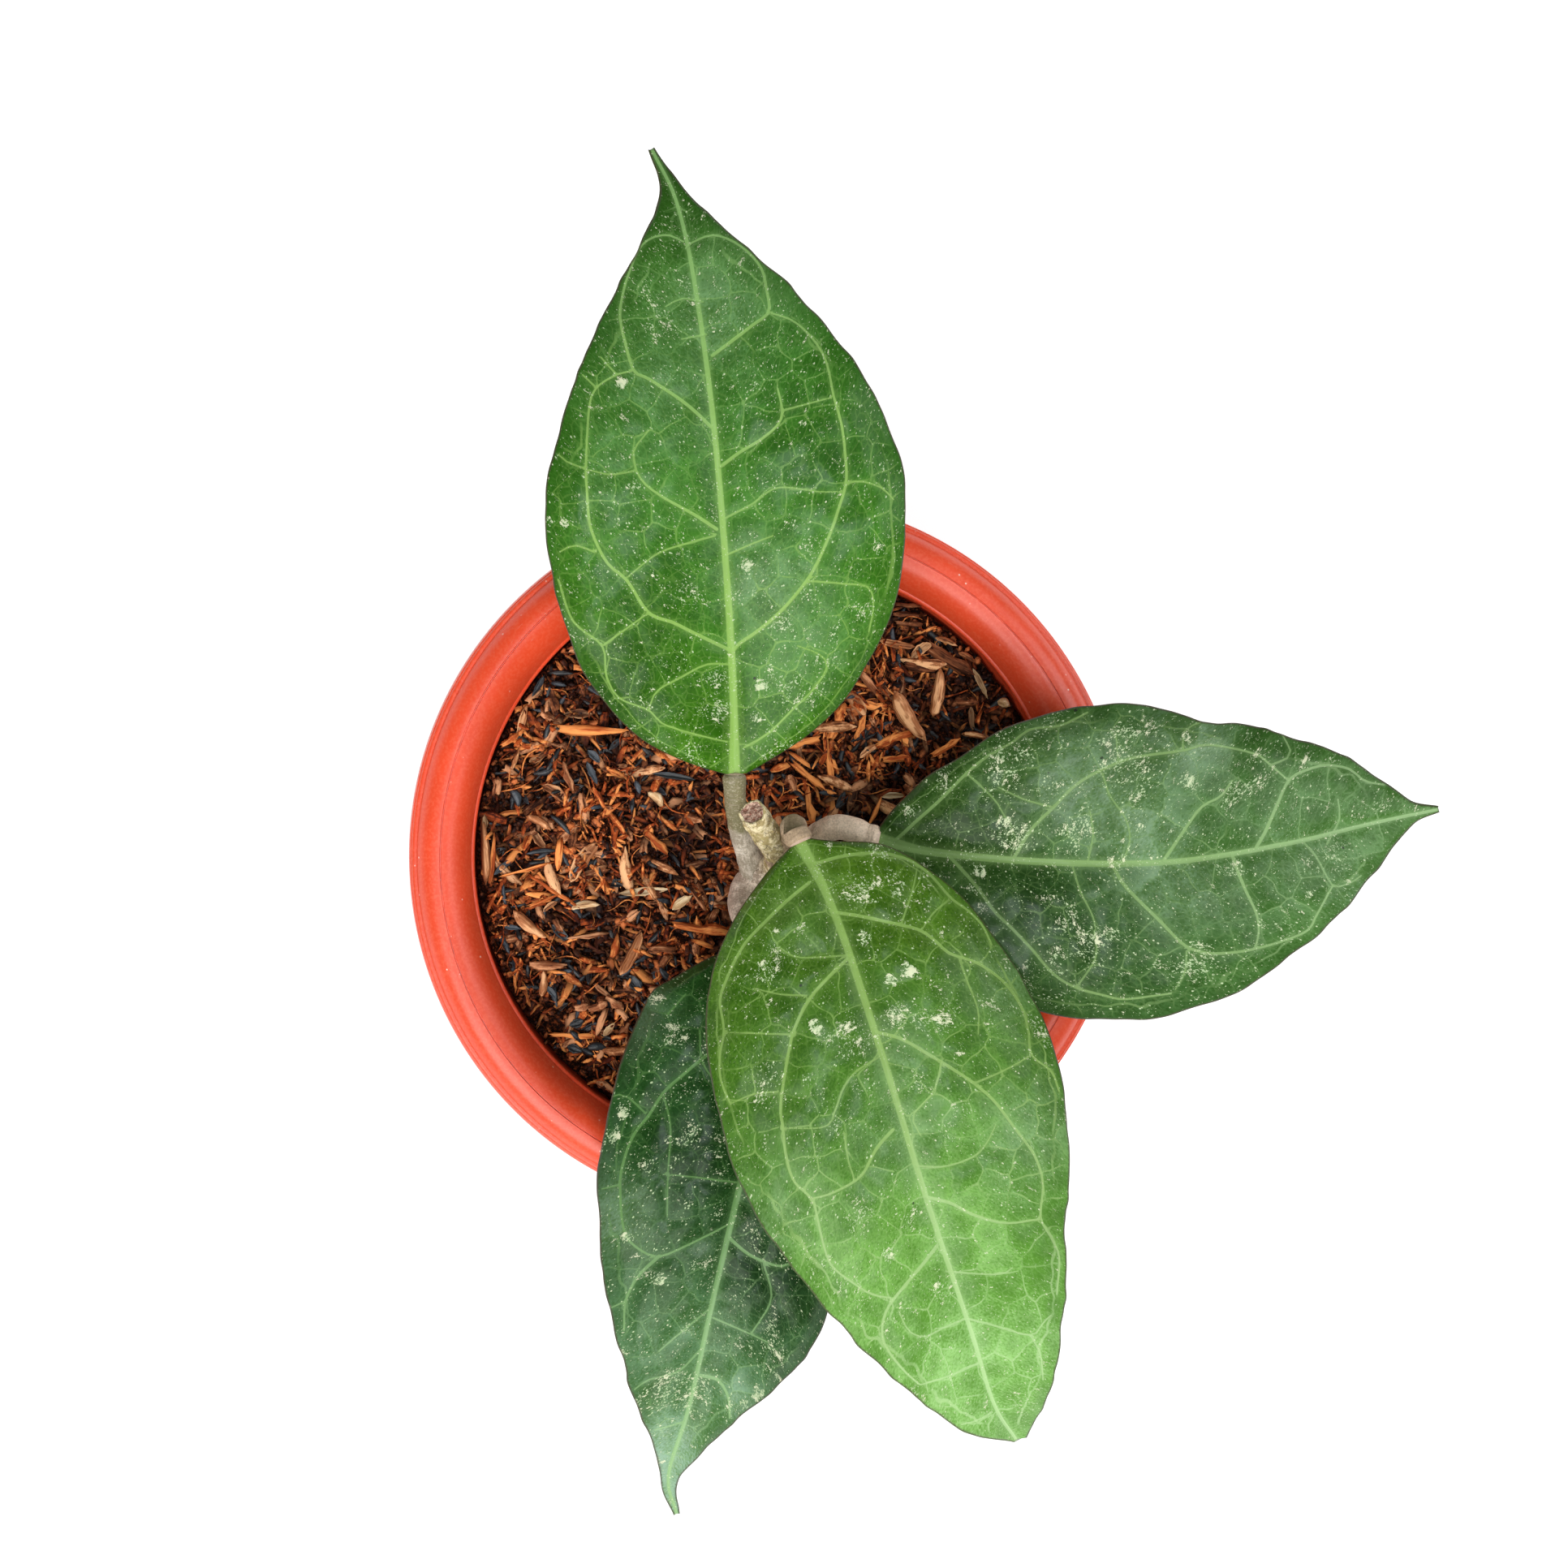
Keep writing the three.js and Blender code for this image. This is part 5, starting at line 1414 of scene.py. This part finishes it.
def photo_pixels(points):
    """Where points in millimetres lie in the photograph."""
    camera, right, up, backward = view_axes()
    ray = points - camera
    depth = -(ray @ backward)
    middle = PHOTO_PIXELS / 2
    return np.stack([middle + FOCAL_PIXELS * (ray @ right) / depth,
                     middle - FOCAL_PIXELS * (ray @ up) / depth], -1)


def on_mix(x, y):
    """The place on the mix, in millimetres, that a photograph pixel shows."""
    camera, right, up, backward = view_axes()
    middle = PHOTO_PIXELS / 2
    ray = right * (x - middle) / FOCAL_PIXELS - up * (y - middle) / FOCAL_PIXELS - backward
    level = MIX_LEVEL
    for _ in range(3):
        place = camera + ray * (level - camera[2]) / ray[2]
        level = mix_height(place[0], place[1])
    return place


def half_width(values, place):
    """A blade's half width between its stations, on a smooth curve through the listed values."""
    values, stations = np.array(values, float), np.array(STATIONS)
    last = len(stations) - 1
    low, high = np.maximum(np.arange(last + 1) - 1, 0), np.minimum(np.arange(last + 1) + 1, last)
    slopes = (values[high] - values[low]) / (stations[high] - stations[low])
    index = np.clip(np.searchsorted(stations, place, side="left") - 1, 0, last - 1)
    span = stations[index + 1] - stations[index]
    u = (place - stations[index]) / span
    start = (1 + 2 * u) * (1 - u)**2 * values[index] + u * (1 - u)**2 * span * slopes[index]
    end = u * u * (3 - 2 * u) * values[index + 1] - u * u * (1 - u) * span * slopes[index + 1]
    return start + end


def nearest_vein(pixels, veins):
    """For each point the way to the nearest vein and the distance, in half widths of that vein.

    A vein is its points, its half widths at its root and its end, and its strength. The vein's strength
    and the plain distance in pixels come with them.
    """
    best = np.full(len(pixels), np.inf)
    way = np.zeros((len(pixels), 3))
    strength = np.zeros(len(pixels))
    plain = np.full(len(pixels), np.inf)
    for points, root_half, end_half, power in veins:
        spans = np.linalg.norm(np.diff(points, axis=0), axis=1)
        reach = np.concatenate([[0], np.cumsum(spans)]) / spans.sum()
        for start, end, low, high in zip(points[:-1], points[1:], reach[:-1], reach[1:]):
            line = end - start
            share = np.clip(((pixels - start) @ line) / (line @ line), 0, 1)
            offset = pixels - start - share[:, None] * line
            distance = np.linalg.norm(offset, axis=1)
            half = root_half + (end_half - root_half) * (low + (high - low) * share)
            nearer = distance - half < best
            best = np.where(nearer, distance - half, best)
            measured = np.column_stack([offset, distance]) / half[:, None]
            way = np.where(nearer[:, None], measured, way)
            strength = np.where(nearer, power, strength)
            plain = np.where(nearer, distance, plain)
    return way, strength, plain


def apart(point, others, distance):
    return not len(others) or np.min(np.hypot(*(np.array(others) - point).T)) > distance


def net_sites(pixels, lines, seed):
    """Middles of the net's cells: in pairs beside each vein, so that the net grows out of the veins.

    The rest of the blade is filled at random, with the middles well apart.
    """
    stream = np.random.default_rng(seed)
    sites = []
    beside = 0.42 * VEIN_SPACING * PIXELS_PER_MM
    apart_by = CELL_SPACING * PIXELS_PER_MM
    walls = np.vstack(lines)
    for number, line in enumerate(lines):
        others = np.vstack([other for index, other in enumerate(lines) if index != number])
        route = Route([(*point, 0) for point in line])
        steps = max(1, round(route.length / (VEIN_SPACING * PIXELS_PER_MM)))
        for step in range(steps):
            share = (step + stream.uniform(0.3, 0.7)) / steps
            middle, heading = route.at(share)[:2], route.heading(share)[:2]
            out = np.array([-heading[1], heading[0]]) * beside
            pair = (middle + out, middle - out)
            if all(apart(site, others, 0.8 * beside) and apart(site, sites, 0.62 * apart_by)
                   for site in pair):
                sites.extend(pair)
    for candidate in pixels[stream.permutation(len(pixels))[:6000]]:
        if apart(candidate, walls, 0.75 * beside) and apart(candidate, sites, 0.86 * apart_by):
            sites.append(candidate)
    return np.array(sites)


def nearest_net_line(pixels, sites):
    """The way and the pixels from each point to the nearest line between cells, and the point's cell."""
    spans = np.linalg.norm(pixels[:, None] - sites[None], axis=2)
    nearest = np.argsort(spans, axis=1)[:, :6]
    own = sites[nearest[:, 0]]
    own_span = np.take_along_axis(spans, nearest[:, :1], 1)[:, 0]
    best = np.full(len(pixels), np.inf)
    way = np.zeros((len(pixels), 2))
    for rank in range(1, nearest.shape[1]):
        other = sites[nearest[:, rank]]
        other_span = np.take_along_axis(spans, nearest[:, rank:rank + 1], 1)[:, 0]
        between = other - own
        width = np.linalg.norm(between, axis=1)
        distance = (other_span**2 - own_span**2) / (2 * width)
        nearer = distance < best
        best = np.where(nearer, distance, best)
        way = np.where(nearer[:, None], between / width[:, None] * distance[:, None], way)
    return np.column_stack([way, best]), nearest[:, 0]


def smooth_vein(points):
    """A vein's points joined by a soft curve instead of straight stretches."""
    route = Route([(*point, 0) for point in points])
    count = max(3, int(route.length / 9))
    return route.at(np.linspace(0, 1, count))[:, :2]


def blade_surface(leaf, place, side):
    """The upper face in millimetres: place from base to tip, side from 1 on the left margin to -1."""
    midrib = Route(leaf["midrib"])
    middle = midrib.at(place)
    heading = midrib.heading(place)
    heading[:, 2] = 0
    heading = unit(heading)
    outward = np.stack([-heading[:, 1], heading[:, 0], np.zeros(len(place))], -1) * np.sign(side)[:, None]
    across = np.abs(side)
    width = np.where(side < 0, half_width(leaf["right"], place), half_width(leaf["left"], place))
    breadth = width / max(leaf["left"])
    sweep = leaf["base_sweep"] + (TIP_SWEEP - leaf["base_sweep"]) * np.minimum(1, 2 * place)**0.8
    forward = width * sweep * (0.4 * across + 0.6 * across**2)
    wave = np.sin(2 * math.pi * leaf["waves"] * place + leaf["wave_phase"] + 1.7 * side)
    edge = np.stack([place * midrib.length, 40 * np.sign(side), 0 * place], -1)
    uneven = 0.13 * ripple(edge, 9, 61) + 0.05 * ripple(edge, 3.5, 62)
    reach = width * across + uneven * smooth_step(0.8, 1.0, across) * np.minimum(1, width / 5)
    arch = HALF_ARCH * across * (1 - across) * smooth_step(0, 0.1, place)
    cup = leaf["cup"] * across * (1 - smooth_step(*CUP_FADE, place))
    rise = (leaf["wave_height"] * wave * across**3 - leaf["droop"] * across**2 + arch + cup
            - MARGIN_ROLL * smooth_step(NET_ARCH, 1, across)) * breadth
    points = middle + outward * reach[:, None] + heading * forward[:, None]
    points[:, 2] += rise
    return points, width * side, width * (1 - across)


def make_leaf(name):
    """One blade as a closed sheet, puckered between its veins, with a keel under its midrib."""
    leaf = LEAVES[name]
    rows, columns = 250, 133
    # Rows lie closer near the base and the tip, where the outline turns quickly.
    even = np.linspace(0, 1, rows)
    places = 0.6 * even + 0.4 * smooth_step(0, 1, even)
    sides = np.sin(np.linspace(math.pi / 2, -math.pi / 2, columns))
    sides = 0.72 * np.linspace(1, -1, columns) + 0.28 * sides
    place, side = (grid.ravel() for grid in np.meshgrid(places, sides, indexing="ij"))
    upper, offset, inward = blade_surface(leaf, place, side)
    pixels = photo_pixels(upper)
    veins = [(smooth_vein(vein), *STRONG_VEIN) for vein in leaf["strong"]]
    veins += [(smooth_vein(vein), *FINE_VEIN) for vein in leaf["fine"]]
    way, strength, plain = nearest_vein(pixels, veins)
    lines = [vein[0] for vein in veins]
    lines.append(photo_pixels(Route(leaf["midrib"]).at(np.linspace(0.02, 1, 60))))
    seed = 1 + list(LEAVES).index(name)
    pixels_flat = np.column_stack([pixels, np.zeros(len(pixels))])
    bent = pixels + 1.6 * np.stack([ripple(pixels_flat, 30, 71), ripple(pixels_flat, 30, 72)], -1)
    net, cell = nearest_net_line(bent, net_sites(pixels, lines, seed))
    cell_tint = np.random.default_rng(seed).uniform(0, 1, cell.max() + 1)[cell]
    from_vein = np.minimum(plain / PIXELS_PER_MM, np.abs(offset) / 1.2)
    from_net = net[:, 2] / PIXELS_PER_MM
    pucker = PUCKER_HEIGHT * (1 - np.exp(-(from_vein / PUCKER_REACH)**2))
    pucker += CELL_HEIGHT * (1 - np.exp(-from_net**2))
    pucker *= leaf["puckers"] * smooth_step(0, 2.5, inward)
    channel = GROOVE_DEPTH * np.exp(-(offset / GROOVE_HALF_WIDTH)**2) * (1 - 0.6 * place)
    dents = DENT_HEIGHT * ripple(upper, 6.5, 51) * smooth_step(0, 4, inward)
    upper[:, 2] += pucker - channel + dents
    depth = BLADE_THICKNESS * (MARGIN_SHARE + (1 - MARGIN_SHARE) * smooth_step(0, 1.6, inward))
    depth = depth + KEEL_DEPTH * (1 - 0.8 * place) * np.maximum(0, 1 - (offset / KEEL_HALF_WIDTH)**2)
    rounding = EDGE_ROUNDING * (1 - smooth_step(0, 0.35, inward))
    lower = upper.copy()
    upper[:, 2] -= rounding
    lower[:, 2] -= depth - 0.5 * rounding

    grid = (rows, columns)
    rim = np.concatenate([upper.reshape(*grid, 3), lower.reshape(*grid, 3)[:, ::-1]], axis=1)
    ring = 2 * columns
    faces = [tuple(quad) for quad in quad_grid(rows, ring, closed=True)]
    underneath = (np.tile(np.arange(ring), rows - 1) >= columns - 1).astype(int)
    underneath[ring - 1::ring] = 1
    faces.append(tuple(range(ring - 1, -1, -1)))
    faces.append(tuple(range((rows - 1) * ring, rows * ring)))
    materials = [leaf_finish("leaf_" + name, leaf, 3.7 * seed), underside_finish("under_" + name, leaf)]
    piece = new_piece("leaf_" + name + "_blade", rim.reshape(-1, 3), faces, materials, [*underneath, 1, 1])

    length = Route(leaf["midrib"]).length
    density = np.zeros(len(pixels))
    for x, y, radius, power in leaf["spots"]:
        reach = np.hypot(pixels[:, 0] - x, pixels[:, 1] - y) / radius
        density = np.maximum(density, power * (1 - smooth_step(0.3, 1.6, reach)))
    # Painted light: tones above 0 add painted sheen, tones below 0 add painted shade.
    pale, dark = np.zeros(len(pixels)), np.zeros(len(pixels))
    for x, y, radius, power in leaf["painted_tones"]:
        tone = power * np.exp(-((pixels[:, 0] - x)**2 + (pixels[:, 1] - y)**2) / radius**2)
        pale += np.maximum(tone, 0)
        dark += np.maximum(-tone, 0)

    def both_faces(*values):
        stacked = np.stack(np.broadcast_arrays(*values), -1).reshape(*grid, 3)
        return np.concatenate([stacked, stacked[:, ::-1]], axis=1).reshape(-1, 3)

    keep_vectors(piece, "blade_place", both_faces(place * length, offset, inward))
    keep_vectors(piece, "vein_place", both_faces(*way.T))
    keep_vectors(piece, "net_place", both_faces(*net.T))
    keep_vectors(piece, "fleck_place", both_faces(density, place, strength))
    keep_vectors(piece, "tone_place", both_faces(pale, dark, cell_tint))
    settle(piece, frame_slot("leaf_" + name), "leaf_" + name)


def frame_slot(node):
    """The material slot that the record gives a CAD node."""
    return next(part["material_slot"] for part in frame["record"]["subparts"] if part["node"] == node)


# ---- Stage ----

def area_light(name, place, aim, size, power, colour=(1, 1, 1)):
    """A square soft light at a place in millimetres, facing aim."""
    data = bpy.data.lights.new(name, "AREA")
    data.shape = "RECTANGLE"
    data.size, data.size_y = size[0] * MM, size[1] * MM
    data.energy = power
    data.color = colour
    light = bpy.data.objects.new(name, data)
    bpy.context.scene.collection.objects.link(light)
    light.location = Vector(place) * MM
    direction = (Vector(aim) - Vector(place)) * MM
    light.rotation_euler = direction.to_track_quat("-Z", "Y").to_euler()
    light.visible_camera = False


def make_camera():
    place, right, up, backward = view_axes()
    data = bpy.data.cameras.new("photo_camera")
    data.sensor_width = SENSOR_WIDTH
    data.lens = FOCAL_PIXELS / PHOTO_PIXELS * SENSOR_WIDTH
    data.clip_start, data.clip_end = 0.01, 20
    camera = bpy.data.objects.new("photo_camera", data)
    bpy.context.scene.collection.objects.link(camera)
    camera.matrix_world = Matrix([[*(float(axis[row]) for axis in (right, up, backward)),
                                   float(place[row]) * MM] for row in range(3)] + [[0, 0, 0, 1]])
    bpy.context.scene.camera = camera


def make_stage(stage):
    half = stage.floor_width / MM / 2
    corners = [(-half, -half, 0), (half, -half, 0), (half, half, 0), (-half, half, 0)]
    floor = new_piece("stage_floor", corners, [(0, 1, 2, 3)], [floor_finish(tuple(stage.floor_colour))])
    aim = (5, 0, 110)
    area_light("left_softbox", (-560, -870, 1170), aim, (1200, 1200), 25 * stage.light, (1, 0.99, 0.97))
    area_light("right_softbox", (1136, 200, 1074), aim, (1100, 1100), 13 * stage.light, (0.97, 0.98, 1))
    area_light("top_softbox", (0, -40, 1500), aim, (400, 400), 6 * stage.light, (0.90, 0.96, 1))
    world = bpy.data.worlds.new("studio")
    bpy.context.scene.world = world
    world.use_nodes = True
    backdrop = world.node_tree.nodes["Background"]
    backdrop.inputs["Color"].default_value = (1, 1, 1, 1)
    backdrop.inputs["Strength"].default_value = stage.world_light
    view = bpy.context.scene.view_settings
    view.view_transform = "Standard"
    view.look = "None"
    make_camera()


# ---- Settings, operators and panel ----

class HoyaPlant(bpy.types.PropertyGroup):
    """What a user may change about the plant and its pot."""
    pot_colour: bpy.props.FloatVectorProperty(
        name="Pot colour", description="Colour of the moulded pot", subtype="COLOR",
        size=3, min=0, max=1, default=(0.84, 0.070, 0.020))
    scrap_density: bpy.props.FloatProperty(
        name="Scraps", description="How thickly loose scraps cover the mix", min=0, max=2, default=1)


class HoyaStage(bpy.types.PropertyGroup):
    """The floor and the lights."""
    floor_width: bpy.props.FloatProperty(
        name="Floor width", description="Side of the square floor", subtype="DISTANCE", unit="LENGTH",
        min=0.5, default=6)
    floor_colour: bpy.props.FloatVectorProperty(
        name="Floor colour", description="Colour of the floor", subtype="COLOR", size=3, min=0, max=1,
        default=(0.4, 0.4, 0.4))
    light: bpy.props.FloatProperty(
        name="Light", description="Strength of the softboxes", min=0, default=1)
    world_light: bpy.props.FloatProperty(
        name="Room light", description="Strength of the even light from all sides", min=0, default=0.15)


class HOYA_OT_pot(bpy.types.Operator):
    """Make the moulded nursery pot"""
    bl_idname = "hoya.make_pot"
    bl_label = "Make pot"

    def execute(self, context):
        make_pot(tuple(context.scene.hoya_plant.pot_colour))
        return {"FINISHED"}


class HOYA_OT_mix(bpy.types.Operator):
    """Make the potting mix and the loose scraps on it"""
    bl_idname = "hoya.make_mix"
    bl_label = "Make potting mix"

    def execute(self, context):
        make_mix_body()
        make_scraps(context.scene.hoya_plant.scrap_density)
        return {"FINISHED"}


class HOYA_OT_vine(bpy.types.Operator):
    """Make the woody vine and the petioles on it"""
    bl_idname = "hoya.make_vine"
    bl_label = "Make vine and petioles"

    def execute(self, context):
        make_vine()
        for name in LEAVES:
            make_petiole(name)
        return {"FINISHED"}


class HOYA_OT_leaves(bpy.types.Operator):
    """Make the four leaf blades"""
    bl_idname = "hoya.make_leaves"
    bl_label = "Make leaves"

    def execute(self, context):
        for name in LEAVES:
            make_leaf(name)
        return {"FINISHED"}


class HOYA_OT_stage(bpy.types.Operator):
    """Make the floor, the lights and the camera"""
    bl_idname = "hoya.make_stage"
    bl_label = "Make stage"

    def execute(self, context):
        make_stage(context.scene.hoya_stage)
        return {"FINISHED"}


OPERATORS = (HOYA_OT_pot, HOYA_OT_mix, HOYA_OT_vine, HOYA_OT_leaves, HOYA_OT_stage)


class HOYA_PT_panel(bpy.types.Panel):
    """Lists the plant's settings and operators"""
    bl_idname = "HOYA_PT_panel"
    bl_label = "Potted hoya"
    bl_space_type = "VIEW_3D"
    bl_region_type = "UI"
    bl_category = "Hoya"

    def draw(self, context):
        for group in (context.scene.hoya_plant, context.scene.hoya_stage):
            for name in type(group).__annotations__:
                self.layout.prop(group, name)
        for operator in OPERATORS:
            self.layout.operator(operator.bl_idname)


CLASSES = (HoyaPlant, HoyaStage, *OPERATORS, HOYA_PT_panel)


def register():
    for cls in CLASSES:
        bpy.utils.register_class(cls)
    bpy.types.Scene.hoya_plant = bpy.props.PointerProperty(type=HoyaPlant)
    bpy.types.Scene.hoya_stage = bpy.props.PointerProperty(type=HoyaStage)


def unregister():
    del bpy.types.Scene.hoya_plant
    del bpy.types.Scene.hoya_stage
    for cls in reversed(CLASSES):
        bpy.utils.unregister_class(cls)


def main():
    register()
    bpy.ops.hoya.make_stage()
    bpy.ops.hoya.make_pot()
    bpy.ops.hoya.make_mix()
    bpy.ops.hoya.make_vine()
    bpy.ops.hoya.make_leaves()


if __name__ == "__main__":
    main()
